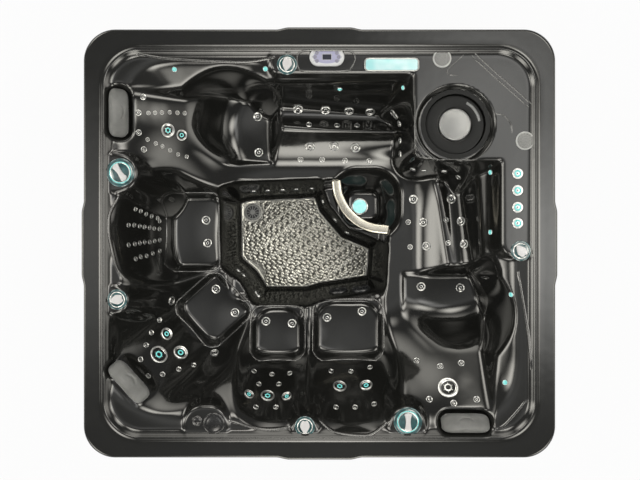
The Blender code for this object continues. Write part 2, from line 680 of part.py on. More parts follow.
def rim_insets():
    """Insets of the rings of the mesh that follow the lip, the flat rim and the ridge."""
    outer = LIP_DRAFT + LIP_EDGE_RADIUS
    return 0.0, LIP_DRAFT, outer, RIDGE_INSET - DECK_STEP, RIDGE_INSET, RIDGE_INSET + DECK_STEP


def rim_ring(inset):
    """Plan places round the tub at an inset, with the outward direction at each."""
    radius = np.interp(inset, (0.0, RIDGE_INSET), (LIP_CORNER_RADIUS, RIDGE_CORNER_RADIUS))
    reach = BULGE_LENGTH / 2
    places = []
    for quarter in range(4):
        across, half_side = (HALF_LENGTH, HALF_WIDTH) if quarter % 2 == 0 else (HALF_WIDTH, HALF_LENGTH)
        out = across - LIP_BULGE - inset
        end = half_side - LIP_BULGE - inset - radius
        far = np.linspace(end, reach, RIM_STOPS)
        near = np.linspace(reach - BULGE_RAMP, 0.0, RIM_STOPS // 2)
        stops = np.concatenate((-far, -near, near[-2::-1], far[::-1]))
        straight = [(out, along, 1.0, 0.0) for along in stops]
        for step in range(1, CORNER_STOPS):
            angle = math.radians(90.0 * step / CORNER_STOPS)
            c, s = math.cos(angle), math.sin(angle)
            straight.append((out - radius + radius * c, end + radius * s, c, s))
        turn = Matrix.Rotation(math.radians(90.0 * quarter), 3, "Z")
        for px, py, nx, ny in straight:
            place = turn @ Vector((px, py, 0.0))
            normal = turn @ Vector((nx, ny, 0.0))
            places.append((place.x, place.y, normal.x, normal.y))
    return np.array(places)


def lip_bulge(ring):
    """Outward step of the lip round the middle of each side."""
    along = np.abs(ring[:, 0] * ring[:, 3] - ring[:, 1] * ring[:, 2])
    straight = np.max(np.abs(ring[:, 2:]), axis=1) > math.cos(math.radians(1.0))
    return LIP_BULGE * straight * smooth_step((BULGE_LENGTH / 2 - along) / BULGE_RAMP)


def surface_turn(x, y):
    """How much the slope of the upper face changes across a wall's thickness."""
    middle = 2.0 * shell_surface(x, y)
    along = shell_surface(x - SHELL_WALL, y) - middle + shell_surface(x + SHELL_WALL, y)
    across = shell_surface(x, y - SHELL_WALL) - middle + shell_surface(x, y + SHELL_WALL)
    return np.hypot(along, across) / SHELL_WALL


def inner_places():
    """Plan places of the mesh inside the rim, the sharpest bends first, each keeping the others off."""
    inset = rim_insets()[-1]
    half = (HALF_LENGTH - LIP_BULGE - inset, HALF_WIDTH - LIP_BULGE - inset)
    lines = [np.arange(-size, size, CANDIDATE_STEP) for size in half]
    x, y = [grid.ravel() for grid in np.meshgrid(*lines)]
    turn = np.round(np.clip(surface_turn(x, y), MESH_SOFT_TURN, MESH_SHARP_TURN), 2)
    gap = np.clip(MESH_LEAST * (MESH_SHARP_TURN / turn) ** MESH_GRADING, MESH_LEAST, MESH_MOST)
    free = -outside_box(x, y, half, RIDGE_CORNER_RADIUS) > np.maximum(MESH_LEAST, gap / 2)
    chosen = []
    for k in np.argsort(-turn, kind="stable"):
        if free[k]:
            chosen.append(k)
            free &= np.hypot(x - x[k], y - y[k]) > (gap + gap[k]) / 2
    return x[chosen], y[chosen]


def under_places(x, y):
    """The under face below plan places: a wall below the lowest ground near by, and thicker on slopes."""
    slope_x = (shell_surface(x + SHELL_WALL, y) - shell_surface(x - SHELL_WALL, y)) / (2 * SHELL_WALL)
    slope_y = (shell_surface(x, y + SHELL_WALL) - shell_surface(x, y - SHELL_WALL)) / (2 * SHELL_WALL)
    wall = SHELL_WALL * np.clip(np.sqrt(1.0 + slope_x ** 2 + slope_y ** 2), 1.0, SLOPE_WALL_MOST)
    lowest = shell_surface(x, y)
    for turn in range(8):
        angle = math.tau * turn / 8
        step_x, step_y = UNDER_REACH * math.cos(angle), UNDER_REACH * math.sin(angle)
        lowest = np.minimum(lowest, shell_surface(x + step_x, y + step_y))
    return np.column_stack((x, y, lowest + TUB_HEIGHT - wall))


def rim_sheets():
    """Rings of points of the upper and the under sheet, from the foot of the lip inwards."""
    tops, unders = [], []
    for number, inset in enumerate(rim_insets()):
        ring = rim_ring(inset)
        x, y = ring[:, 0], ring[:, 1]
        height = shell_surface(x, y)
        bulge = lip_bulge(ring) if number < 3 else np.zeros(len(ring))
        inward = LIP_WALL if number < 2 else 0.0
        low = (np.minimum(height, -DECK_DROP) if number > 2 else height) - SHELL_WALL
        if number == 0:
            height = np.full(len(ring), -LIP_DROP)
            low = height
        if number == 1:
            height = np.full(len(ring), -LIP_EDGE_RADIUS)
            low = height - SHELL_WALL
        if number == 5:
            low = under_places(x, y)[:, 2] - TUB_HEIGHT
        tops.append(np.column_stack((
            x + ring[:, 2] * bulge, y + ring[:, 3] * bulge, height + TUB_HEIGHT)))
        unders.append(np.column_stack((
            x + ring[:, 2] * (bulge - inward), y + ring[:, 3] * (bulge - inward), low + TUB_HEIGHT)))
    return tops, unders


def build_shell():
    """The acrylic shell: rings at the rim, a mesh inside them, and an under face, joined at the lip."""
    tops, unders = rim_sheets()
    x, y = inner_places()
    tops.append(np.column_stack((x, y, shell_surface(x, y) + TUB_HEIGHT)))
    unders.append(under_places(x, y))
    count = len(tops[0])
    triangles = []
    for number in range(len(rim_insets()) - 1):
        outer, inner = number * count, (number + 1) * count
        for k in range(count):
            n = (k + 1) % count
            triangles.append((outer + k, outer + n, inner + n))
            triangles.append((outer + k, inner + n, inner + k))
    start = (len(rim_insets()) - 1) * count
    places = [Vector(point[:2]) for point in tops[-2]] + [Vector(point) for point in zip(x, y)]
    edges = [(k, (k + 1) % count) for k in range(count)]
    found = delaunay_2d_cdt(places, edges, [], 1, CLEARANCE / 10)
    for face in found[2]:
        triangles.append(tuple(start + found[3][corner][0] for corner in face))
    bm = bmesh.new()
    sheets = [[bm.verts.new(point) for point in np.concatenate(sheet)] for sheet in (tops, unders)]
    for sheet in sheets:
        for triangle in triangles:
            bm.faces.new([sheet[corner] for corner in triangle])
    for k in range(count):
        n = (k + 1) % count
        bm.faces.new((sheets[0][k], sheets[0][n], sheets[1][n], sheets[1][k]))
    return add_object("shell", bm, ACRYLIC, smooth_deg=40.0)


def seat_cutter(name, location, rotation, flange_radius, barrel_radius, sides, flange_sink=0.0):
    """Cutter for a fitting: a spot face above its flange and a hole through the wall for its barrel."""
    profile = (
        (0.0, -BARREL_DEPTH * 2), (hole_radius(barrel_radius, sides), -BARREL_DEPTH * 2),
        (hole_radius(barrel_radius, sides), -flange_sink - CLEARANCE),
        (hole_radius(flange_radius, sides), -flange_sink - CLEARANCE),
        (hole_radius(flange_radius, sides), BARREL_DEPTH * 2), (0.0, BARREL_DEPTH * 2))
    return add_object(name + "_cutter", turned(profile, sides), BLACK_PLASTIC, location, rotation=rotation)


def upright(normal):
    """Rotation that turns +Z onto a normal."""
    return Vector((0.0, 0.0, 1.0)).rotation_difference(normal)


def add_deck_fitting(name, share, profile, sides, finish, flange_radius, cutters,
                     barrel_radius=BARREL_RADIUS):
    """A turned fitting with a barrel through the deck, and its cutter."""
    x, y = spot(share)
    location = Vector((x, y, TUB_HEIGHT - DECK_DROP + CLEARANCE))
    fitting = add_object(name, turned(profile, sides), finish, location, smooth_deg=35.0)
    cutters.append(seat_cutter(name, location, None, flange_radius, barrel_radius, sides))
    return fitting


def waisted_bar(length, end, waist, bottom, top):
    """A handle bar whose sides curve in to its middle."""
    steps = np.linspace(-1.0, 1.0, 7)
    half = [waist / 2 + (end - waist) / 2 * t * t for t in steps]
    right = [(w, t * length / 2) for w, t in zip(half, steps)]
    left = [(-w, t * length / 2) for w, t in zip(half[::-1], steps[::-1])]
    return slab(right + left, bottom, top)


def lobed_lever(length, head, stem, bottom, top):
    """A small lever: a broad rounded head that narrows to a stem."""
    steps = np.linspace(0.0, 1.0, 7)
    half = [stem / 2 + (head - stem) / 2 * math.sin(math.pi * min(t * 1.12,
                                                                  1.0) / 2) ** 2 * (t > 0.3) for t in steps]
    along = [(-0.5 + t) * length for t in steps]
    right = list(zip(half, along))
    left = [(-w, t) for w, t in zip(half[::-1], along[::-1])]
    return slab(right + [(0.0, length / 2 + stem / 3)] + left, bottom, top)


def build_valves(cutters):
    """Two large diverter valves and four small valves, each a body with a handle that turns."""
    for number, (share, heading) in enumerate(zip(DIVERTER_SHARES, DIVERTER_HEADINGS_DEG), 1):
        profile = (
            (0.0, -BARREL_DEPTH), (BARREL_RADIUS, -BARREL_DEPTH), (BARREL_RADIUS, 0.0), (DIVERTER_RADIUS,
                                                                                         0.0),
            (DIVERTER_RADIUS * 0.96, DIVERTER_RISE * 0.45), (DIVERTER_COLLAR_RADIUS * 1.08,
                                                             DIVERTER_RISE * 0.6),
            (DIVERTER_COLLAR_RADIUS, DIVERTER_RISE), (0.0, DIVERTER_RISE))
        body = add_deck_fitting(
            "diverter_%d_body" % number, share, profile, ROUND_SIDES, TEAL_PLASTIC, DIVERTER_RADIUS,
            cutters)
        bar = waisted_bar(
            DIVERTER_HANDLE_LENGTH, DIVERTER_HANDLE_END, DIVERTER_HANDLE_WAIST,
            DIVERTER_RISE + CLEARANCE, DIVERTER_RISE + DIVERTER_HANDLE_HEIGHT)
        bmesh.ops.rotate(bar, verts=bar.verts, matrix=Matrix.Rotation(math.radians(heading), 3, "Z"))
        add_object("diverter_%d_handle" % number, bar, WHITE_PLASTIC, parent=body)
    for number, (share, heading) in enumerate(zip(VALVE_SHARES, VALVE_HEADINGS_DEG), 1):
        profile = (
            (0.0, -BARREL_DEPTH), (BARREL_RADIUS, -BARREL_DEPTH), (BARREL_RADIUS, 0.0), (VALVE_RADIUS, 0.0),
            (VALVE_RADIUS * 0.94, VALVE_RISE * 0.7), (VALVE_RADIUS * 0.7, VALVE_RISE), (0.0, VALVE_RISE))
        body = add_deck_fitting(
            "valve_%d_body" % number, share, profile, COARSE_SIDES, TEAL_PLASTIC, VALVE_RADIUS, cutters)
        lever = lobed_lever(
            VALVE_HANDLE_LENGTH, VALVE_HANDLE_HEAD, VALVE_HANDLE_STEM,
            VALVE_RISE + CLEARANCE, VALVE_RISE + VALVE_HANDLE_HEIGHT)
        bmesh.ops.rotate(lever, verts=lever.verts, matrix=Matrix.Rotation(math.radians(heading), 3, "Z"))
        add_object("valve_%d_handle" % number, lever, WHITE_PLASTIC, parent=body)


def build_speakers(cutters):
    """Two round speakers set flush in the deck."""
    for number, share in enumerate(SPEAKER_SHARES, 1):
        profile = (
            (0.0, -BARREL_DEPTH), (BARREL_RADIUS, -BARREL_DEPTH), (BARREL_RADIUS, 0.0), (SPEAKER_RADIUS,
                                                                                         0.0),
            (SPEAKER_RADIUS, SPEAKER_RISE * 0.6), (SPEAKER_RADIUS * 0.92, SPEAKER_RISE), (0.0,
                                                                                          SPEAKER_RISE))
        add_deck_fitting("speaker_%d" % number, share, profile, ROUND_SIDES, GREY_PLASTIC, SPEAKER_RADIUS,
                         cutters)


def build_skimmer(cutters):
    """Skimmer canister in the filter block, with cartridge, ring and float, all turned about one axis."""
    x, y = spot(SKIMMER_SHARE)
    seat = TUB_HEIGHT - DECK_DROP - SKIMMER_SINK
    inner = CANISTER_RADIUS - CANISTER_WALL
    canister = add_object("skimmer_canister", turned((
        (0.0, -CANISTER_DEPTH), (CANISTER_RADIUS, -CANISTER_DEPTH), (CANISTER_RADIUS, 0.0),
        (CANISTER_FLANGE_RADIUS, 0.0), (CANISTER_FLANGE_RADIUS, CANISTER_FLANGE), (inner, CANISTER_FLANGE),
        (inner, CANISTER_WALL - CANISTER_DEPTH), (0.0, CANISTER_WALL - CANISTER_DEPTH)), WELL_SIDES),
        BLACK_PLASTIC, (x, y, seat + CLEARANCE), smooth_deg=35.0)
    cutters.append(add_object("skimmer_cutter", turned((
        (0.0, -CANISTER_DEPTH * 1.1), (CANISTER_RADIUS + CLEARANCE, -CANISTER_DEPTH * 1.1),
        (CANISTER_RADIUS + CLEARANCE, 0.0), (CANISTER_FLANGE_RADIUS + CLEARANCE, 0.0),
        (CANISTER_FLANGE_RADIUS + CLEARANCE, BARREL_DEPTH), (0.0, BARREL_DEPTH)), WELL_SIDES),
        BLACK_PLASTIC, (x, y, seat)))
    ring_top = -RING_SINK
    ring = add_object("skimmer_ring", turned((
        (RING_HOLE_RADIUS, ring_top - RING_THICKNESS), (RING_RADIUS, ring_top - RING_THICKNESS),
        (RING_RADIUS, ring_top), (RING_HOLE_RADIUS, ring_top)), WELL_SIDES),
        BLACK_PLASTIC, parent=canister, smooth_deg=35.0)
    angles = [math.radians(SLOT_START_DEG + SLOT_SWEEP_DEG * step / 8) for step in range(9)]
    outer = [((SLOT_RADIUS + SLOT_WIDTH / 2) * math.cos(a),
              (SLOT_RADIUS + SLOT_WIDTH / 2) * math.sin(a)) for a in angles]
    inside = [((SLOT_RADIUS - SLOT_WIDTH / 2) * math.cos(a),
               (SLOT_RADIUS - SLOT_WIDTH / 2) * math.sin(a)) for a in angles]
    slot = add_object(
        "slot_cutter", slab(outer + inside[::-1], -RING_SINK - 2 * RING_THICKNESS, RING_THICKNESS),
        BLACK_PLASTIC, (x, y, seat + CLEARANCE))
    add_cut(ring, [slot])
    core_top = ring_top - RING_THICKNESS - CLEARANCE - FLOAT_SKIRT - FLOAT_TRAVEL
    outline = []
    for step in range(CARTRIDGE_PLEATS * 2):
        radius = CARTRIDGE_RADIUS - (CARTRIDGE_PLEAT_DEPTH if step % 2 else 0.0)
        angle = math.tau * step / (CARTRIDGE_PLEATS * 2)
        outline.append((radius * math.cos(angle), radius * math.sin(angle)))
    add_object(
        "filter_cartridge", slab(outline, core_top - CARTRIDGE_LENGTH, core_top), FILTER_WHITE,
        parent=canister)
    skirt = ring_top - RING_THICKNESS / 2
    add_object("float_disc", turned((
        (0.0, skirt - FLOAT_SKIRT), (FLOAT_RADIUS, skirt - FLOAT_SKIRT), (FLOAT_RADIUS,
                                                                          skirt + RING_THICKNESS),
        (FLOAT_RADIUS * 0.8, skirt + RING_THICKNESS + FLOAT_DOME * 0.55),
        (FLOAT_RADIUS * 0.45, skirt + RING_THICKNESS + FLOAT_DOME * 0.9),
        (0.0, skirt + RING_THICKNESS + FLOAT_DOME)),
        WELL_SIDES), STEEL, parent=canister, smooth_deg=50.0)


def build_control_panel(cutters):
    """Oval panel with a window and six buttons, each in its own pocket."""
    x, y = spot(PANEL_SHARE)
    location = Vector((x, y, TUB_HEIGHT - DECK_DROP + CLEARANCE))
    oval = rounded_rectangle(PANEL_LENGTH / 2, PANEL_WIDTH / 2, PANEL_WIDTH / 2 - CLEARANCE, 8)
    panel = add_object("control_panel", slab(oval, 0.0, PANEL_THICK), WHITE_PLASTIC, location)
    hole = rounded_rectangle(
        PANEL_LENGTH / 2 + CLEARANCE, PANEL_WIDTH / 2 + CLEARANCE, PANEL_WIDTH / 2, 8)
    cutters.append(add_object(
        "panel_cutter", slab(hole, 0.0, BARREL_DEPTH), BLACK_PLASTIC, location - Vector((0.0, 0.0,
                                                                                         CLEARANCE))))
    pockets = []
    window = block((DISPLAY_LENGTH, DISPLAY_WIDTH, PANEL_FLANGE))
    add_object(
        "display_window", window, BLACK_PLASTIC, (0.0, 0.0,
                                                  PANEL_THICK - PANEL_FLANGE / 2 - DISPLAY_SINK / 2), panel)
    pockets.append(add_object("window_cutter", block((
        DISPLAY_LENGTH + 2 * CLEARANCE, DISPLAY_WIDTH + 2 * CLEARANCE, PANEL_FLANGE * 2 + DISPLAY_SINK)),
        BLACK_PLASTIC, location + Vector((0.0, 0.0, PANEL_THICK - CLEARANCE))))
    number = 0
    for side in (-1, 1):
        for angle in BUTTON_ANGLES_DEG:
            number += 1
            across = side * (BUTTON_CLUSTER + BUTTON_RING_RADIUS * (math.cos(math.radians(angle)) - 0.5))
            along = BUTTON_RING_RADIUS * 1.25 * math.sin(math.radians(angle))
            place = Vector((across, along, PANEL_THICK))
            add_object("button_%d" % number, turned((
                (0.0, -BUTTON_SINK + BUTTON_RISE * 2), (BUTTON_RADIUS, -BUTTON_SINK + BUTTON_RISE * 2),
                (BUTTON_RADIUS, BUTTON_RISE / 2), (BUTTON_RADIUS * 0.8, BUTTON_RISE), (0.0, BUTTON_RISE)),
                COARSE_SIDES), GREY_PLASTIC, place, panel, smooth_deg=35.0)
            pockets.append(add_object("button_pocket_%d" % number, turned((
                (0.0, -BUTTON_SINK), (BUTTON_RADIUS + CLEARANCE, -BUTTON_SINK),
                (BUTTON_RADIUS + CLEARANCE, BUTTON_SINK), (0.0, BUTTON_SINK)), COARSE_SIDES),
                BLACK_PLASTIC, location + place))
    add_cut(panel, pockets)


def build_waterfall(cutters):
    """Long spout body with a slot in its face."""
    x, y = spot(WATERFALL_SHARE)
    location = Vector((x, y, TUB_HEIGHT - DECK_DROP + CLEARANCE))
    oval = rounded_rectangle(WATERFALL_LENGTH / 2, WATERFALL_WIDTH / 2, WATERFALL_WIDTH / 2 - CLEARANCE, 6)
    body = add_object("waterfall_spout", slab(oval, 0.0, WATERFALL_SLOT_DEPTH * 2), BLACK_PLASTIC, location)
    slot = rounded_rectangle(
        WATERFALL_SLOT_LENGTH / 2, WATERFALL_SLOT_WIDTH / 2, WATERFALL_SLOT_WIDTH / 2 - CLEARANCE, 5)
    add_cut(body, [add_object(
        "waterfall_slot_cutter", slab(slot, WATERFALL_SLOT_DEPTH, WATERFALL_SLOT_DEPTH * 4),
        BLACK_PLASTIC, location)])
    hole = rounded_rectangle(
        WATERFALL_LENGTH / 2 + CLEARANCE, WATERFALL_WIDTH / 2 + CLEARANCE, WATERFALL_WIDTH / 2, 6)
    cutters.append(add_object(
        "waterfall_cutter", slab(hole, 0.0, BARREL_DEPTH), BLACK_PLASTIC, location - Vector((0.0, 0.0,
                                                                                             CLEARANCE))))


def jet_profile(radius):
    """Profile of a jet: barrel, flange, a dished face and the nozzle eye."""
    eye = radius * JET_EYE_RADIUS_SHARE
    return (
        (0.0, -BARREL_DEPTH), (radius * 0.6, -BARREL_DEPTH), (radius * 0.6, 0.0), (radius, 0.0),
        (radius * 0.96, JET_FLANGE), (eye * 1.3, JET_FLANGE), (eye, JET_FLANGE - JET_DISH),
        (eye * 0.5, JET_FLANGE - JET_DISH * 0.5), (0.0, JET_FLANGE - JET_DISH * 0.5))


def build_jets(cutters):
    """Jets with turning faces, each square to the back that it sits in."""
    for name, jet in JETS.items():
        x, y = spot(jet["place_share"])
        rotation = upright(surface_normal(x, y))
        location = surface_point(x, y, above=CLEARANCE)
        add_object(
            name, turned(jet_profile(jet["radius"]), COARSE_SIDES), STEEL, location,
            rotation=rotation, smooth_deg=35.0)
        cutters.append(seat_cutter(name, location, rotation, jet["radius"], jet["radius"] * 0.6,
                                   COARSE_SIDES))


def suction_place(share):
    """Where the footwell's lower wall passes the covers' height, and its normal there."""
    x, y = spot(share)
    along = np.linspace(y, y - MOUTH_CORNER * 2, SUCTION_SEARCH_STEPS)
    heights = shell_surface(np.full(SUCTION_SEARCH_STEPS, x), along)
    y = float(np.interp(-SUCTION_DEPTH, heights, along))
    return surface_point(x, y, above=CLEARANCE), surface_normal(x, y)


def build_light_and_drains(cutters):
    """Footwell light in its bowl, floor drain, and two suction covers low in the footwell wall."""
    x, y = spot(LIGHT_SHARE)
    location = surface_point(x, y, above=CLEARANCE)
    rotation = upright(surface_normal(x, y))
    add_object("footwell_light", turned((
        (0.0, -BARREL_DEPTH), (BARREL_RADIUS, -BARREL_DEPTH), (BARREL_RADIUS, 0.0), (LIGHT_RADIUS, 0.0),
        (LIGHT_RADIUS * 0.9, LIGHT_RISE * 0.8), (0.0, LIGHT_RISE)), COARSE_SIDES),
        LIT_LENS, location, rotation=rotation, smooth_deg=35.0)
    cutters.append(seat_cutter("light", location, rotation, LIGHT_RADIUS, BARREL_RADIUS, COARSE_SIDES))
    x, y = spot(FLOOR_DRAIN_SHARE)
    location = surface_point(x, y, above=CLEARANCE)
    add_object("floor_drain", turned((
        (0.0, -SHELL_WALL), (BARREL_RADIUS, -SHELL_WALL), (BARREL_RADIUS, 0.0), (FLOOR_DRAIN_RADIUS, 0.0),
        (FLOOR_DRAIN_RADIUS * 0.9, FLOOR_DRAIN_RISE), (0.0, FLOOR_DRAIN_RISE)), COARSE_SIDES),
        GREY_PLASTIC, location, smooth_deg=35.0)
    cutters.append(seat_cutter("floor_drain", location, None, FLOOR_DRAIN_RADIUS, BARREL_RADIUS,
                               COARSE_SIDES))
    for number, share in enumerate(SUCTION_SHARES, 1):
        location, normal = suction_place(share)
        rotation = upright(normal)
        add_object("suction_cover_%d" % number, turned((
            (0.0, -BARREL_DEPTH), (BARREL_RADIUS, -BARREL_DEPTH), (BARREL_RADIUS, 0.0), (SUCTION_RADIUS,
                                                                                         0.0),
            (SUCTION_RADIUS * 0.85, SUCTION_DOME * 0.6), (SUCTION_RADIUS * 0.5, SUCTION_DOME),
            (0.0, SUCTION_DOME)),
            COARSE_SIDES), BLACK_PLASTIC, location, rotation=rotation, smooth_deg=35.0)
        cutters.append(seat_cutter("suction_%d" % number, location, rotation, SUCTION_RADIUS,
                                   BARREL_RADIUS, COARSE_SIDES))


def build_pillows(cutters):
    """Moulded headrests: a crowned face, sides that draw in at mid length, and an arched crease."""
    around, rings = 32, 8
    for name, pillow in PILLOWS.items():
        bm = bmesh.new()

        def point(rho, angle, upper):
            """One place of the pillow's skin at a share of the way out from its middle."""
            c, s = math.cos(angle), math.sin(angle)
            squareness = (abs(c) ** 4 + abs(s) ** 4) ** -0.25
            across = (PILLOW_HEIGHT / 2 - PILLOW_DRAW * (s * s < 0.5)) * c * squareness * rho
            along = PILLOW_LENGTH / 2 * s * squareness * rho
            crown = (1.0 - rho ** 3) ** 0.5
            away = math.hypot(across + PILLOW_HEIGHT * 0.28, along) - PILLOW_CREASE_RADIUS
            crease = PILLOW_CREASE * math.exp(-(away / PILLOW_DRAW) ** 2) * (across < 0.0)
            share = 1.0 - PILLOW_BACK_SHARE if upper else -PILLOW_BACK_SHARE
            thick = PILLOW_THICKNESS * share * crown - crease * upper
            return across, along, thick

        angles = [math.tau * k / around for k in range(around)]
        loops = []
        for step in range(rings + 1):
            rho = math.sin(math.pi / 2 * (step + 1) / (rings + 1))
            loops.append([bm.verts.new(point(rho, a, True)) for a in angles])
        for rho in (0.9, 0.6):
            loops.append([bm.verts.new(point(rho, a, False)) for a in angles])
        for low, high in zip(loops, loops[1:]):
            for k in range(around):
                n = (k + 1) % around
                bm.faces.new((low[k], low[n], high[n], high[k]))
        bm.faces.new(loops[-1])
        middle = bm.verts.new(point(0.0, 0.0, True))
        for k in range(around):
            bm.faces.new((loops[0][k], loops[0][(k + 1) % around], middle))
        x, y = spot(pillow["place_share"])
        turn = Matrix.Rotation(math.radians(pillow["heading_deg"]), 4, "Z")
        tilt = Matrix.Rotation(-math.radians(PILLOW_TILT_DEG), 4, "Y")
        rotation = (turn @ tilt).to_quaternion()
        location = (x, y, TUB_HEIGHT - pillow["depth"])
        add_object(name, bm, SOFT_GREY, location, rotation=rotation, smooth_deg=60.0)
        nest = block((
            PILLOW_HEIGHT + 4 * CLEARANCE, PILLOW_LENGTH + 4 * CLEARANCE, PILLOW_THICKNESS * 2),
            PILLOW_DRAW)
        lift = PILLOW_THICKNESS * (1.0 - PILLOW_BACK_SHARE) - 2 * CLEARANCE
        nest_place = Vector(location) + rotation @ Vector((0.0, 0.0, lift))
        cutters.append(add_object(name + "_cutter", nest, BLACK_PLASTIC, nest_place, rotation=rotation))


def smooth_route(points, count):
    """Evenly numbered points on a curve through the given ones."""
    points = [Vector(point) for point in points]
    ends = [points[0] * 2 - points[1]] + points + [points[-1] * 2 - points[-2]]
    route = []
    for step in range(count):
        t = (len(points) - 1) * step / (count - 1)
        k = min(int(t), len(points) - 2)
        t -= k
        a, b, c, d = ends[k:k + 4]
        square = (a * 2 - b * 5 + c * 4 - d) * t ** 2
        cube = (b * 3 - a - c * 3 + d) * t ** 3
        bend = (b * 2 + (c - a) * t + square + cube) * 0.5
        route.append(bend)
    return route


def rail_solid(route, grow):
    """A flat oval bar carried along a route, grown all round by a clearance."""
    bm = bmesh.new()
    loops = []
    for step, place in enumerate(route):
        ahead = route[min(step + 1, len(route) - 1)] - route[max(step - 1, 0)]
        side = ahead.cross(Vector((0.0, 0.0, 1.0))).normalized()
        loop = []
        for k in range(8):
            angle = math.tau * (k + 0.5) / 8
            offset = side * ((RAIL_BREADTH / 2 + grow) * math.cos(angle))
            rise = Vector((0.0, 0.0, (RAIL_HEIGHT / 2 + grow) * math.sin(angle)))
            loop.append(bm.verts.new(place + offset + rise))
        loops.append(loop)
    for low, high in zip(loops, loops[1:]):
        for k in range(8):
            n = (k + 1) % 8
            bm.faces.new((low[k], low[n], high[n], high[k]))
    bm.faces.new(loops[0])
    bm.faces.new(loops[-1][::-1])
    return bm


def build_grab_rail(cutters):
    """Curved rail across the corner of the footwell, let into the pocket's walls at both ends."""
    route = smooth_route(
        [(*spot(share), TUB_HEIGHT - RAIL_DEPTH) for share in RAIL_SHARES], RAIL_POINTS)
    add_object("grab_rail", rail_solid(route, 0.0), GREY_PLASTIC, smooth_deg=50.0)
    ends = ((route[0] - route[1]).normalized(), (route[-1] - route[-2]).normalized())
    longer = [route[0] + ends[0] * CLEARANCE] + route[1:-1] + [route[-1] + ends[1] * CLEARANCE]
    cutters.append(add_object("grab_rail_cutter", rail_solid(longer, 2 * CLEARANCE), BLACK_PLASTIC))


def cabinet_half():
    """Half length and half width of the cabinet's outer face."""
    return HALF_LENGTH - CABINET_INSET, HALF_WIDTH - CABINET_INSET


def build_cabinet():
    """Base pan, four corner posts, the frame under the rim, and four boarded panels."""
    half_x, half_y = cabinet_half()
    top = TUB_HEIGHT - CABINET_TOP_GAP
    panel_top = TUB_HEIGHT - LIP_DROP - PANEL_LIP_GAP
    foot = PAN_SLAB + CLEARANCE
    pan = rounded_rectangle(half_x, half_y, CABINET_CORNER_RADIUS, 6)
    add_object("base_pan", slab(pan, 0.0, PAN_SLAB), BLACK_PLASTIC)
    inner = CABINET_CORNER_RADIUS - POST_WALL
    arc = [math.radians(90.0 * step / 6) for step in range(7)]
    post = [(POST_SIZE - CABINET_CORNER_RADIUS, 0.0)]
    centre = POST_SIZE - CABINET_CORNER_RADIUS
    outer = [(centre + CABINET_CORNER_RADIUS * math.cos(a),
              centre + CABINET_CORNER_RADIUS * math.sin(a)) for a in arc]
    inside = [(centre + inner * math.cos(a), centre + inner * math.sin(a)) for a in arc]
    post = [(POST_SIZE, 0.0)] + outer + [(0.0, POST_SIZE), (0.0, POST_SIZE - POST_WALL)]
    post += inside[::-1] + [(POST_SIZE - POST_WALL, 0.0)]
    for number, (sx, sy, turn) in enumerate(((1, 1, 0), (-1, 1, 90), (-1, -1, 180), (1, -1, 270)), 1):
        place = Vector((sx * (half_x - POST_SIZE), sy * (half_y - POST_SIZE), 0.0))
        rotation = Matrix.Rotation(math.radians(turn), 4, "Z").to_quaternion()
        add_object("corner_post_%d" % number, slab(post, foot, top), CABINET_GREY, place,
                   rotation=rotation, smooth_deg=35.0)
    frame_out = (half_x - POST_WALL - PANEL_END_GAP, half_y - POST_WALL - PANEL_END_GAP)
    frame_top = TUB_HEIGHT - FRAME_TOP_GAP
    outer = rounded_rectangle(*frame_out, FRAME_CORNER_RADIUS, 4)
    inside = rounded_rectangle(
        frame_out[0] - FRAME_SECTION_WIDE, frame_out[1] - FRAME_SECTION_WIDE,
        FRAME_CORNER_RADIUS - FRAME_SECTION_WIDE, 4)
    bm = bmesh.new()
    rings = []
    for outline, height in ((outer, frame_top - FRAME_SECTION_HIGH), (outer, frame_top), (inside,
                                                                                          frame_top),
                            (inside, frame_top - FRAME_SECTION_HIGH)):
        rings.append([bm.verts.new((px, py, height)) for px, py in outline])
    for low, high in zip(rings, rings[1:] + rings[:1]):
        for k in range(len(low)):
            n = (k + 1) % len(low)
            bm.faces.new((low[k], low[n], high[n], high[k]))
    add_object("top_frame", bm, TIMBER)
    board = (panel_top - foot) / PANEL_BOARDS
    profile = [(-PANEL_THICKNESS, foot)]
    for number in range(PANEL_BOARDS):
        low = foot + board * number
        if number:
            profile.append((-BOARD_GROOVE, low))
        profile.append((0.0, low + (BOARD_GROOVE if number else 0.0)))
        last = number == PANEL_BOARDS - 1
        profile.append((0.0, low + board - (0.0 if last else BOARD_GROOVE)))
    profile.append((-PANEL_THICKNESS, panel_top))
    names = (("cabinet_right", 1, 0), ("access_panel", 0, 90), ("cabinet_left", -1, 180),
             ("cabinet_front", 0, 270))
    for name, side, turn in names:
        reach = half_x if side else half_y
        half_span = (half_y if side else half_x) - POST_SIZE - PANEL_END_GAP
        bm = bmesh.new()
        face = bm.faces.new([bm.verts.new((px, -half_span, pz)) for px, pz in profile])
        pulled = bmesh.ops.extrude_face_region(bm, geom=[face])["geom"]
        moved = [item for item in pulled if isinstance(item, bmesh.types.BMVert)]
        bmesh.ops.translate(bm, verts=moved, vec=(0.0, 2 * half_span, 0.0))
        rotation = Matrix.Rotation(math.radians(turn), 4, "Z").to_quaternion()
        place = rotation @ Vector((reach, 0.0, 0.0))
        panel = add_object(name, bm, CABINET_GREY, place, rotation=rotation)
        if name == "cabinet_left":
            build_drain_spout(panel)


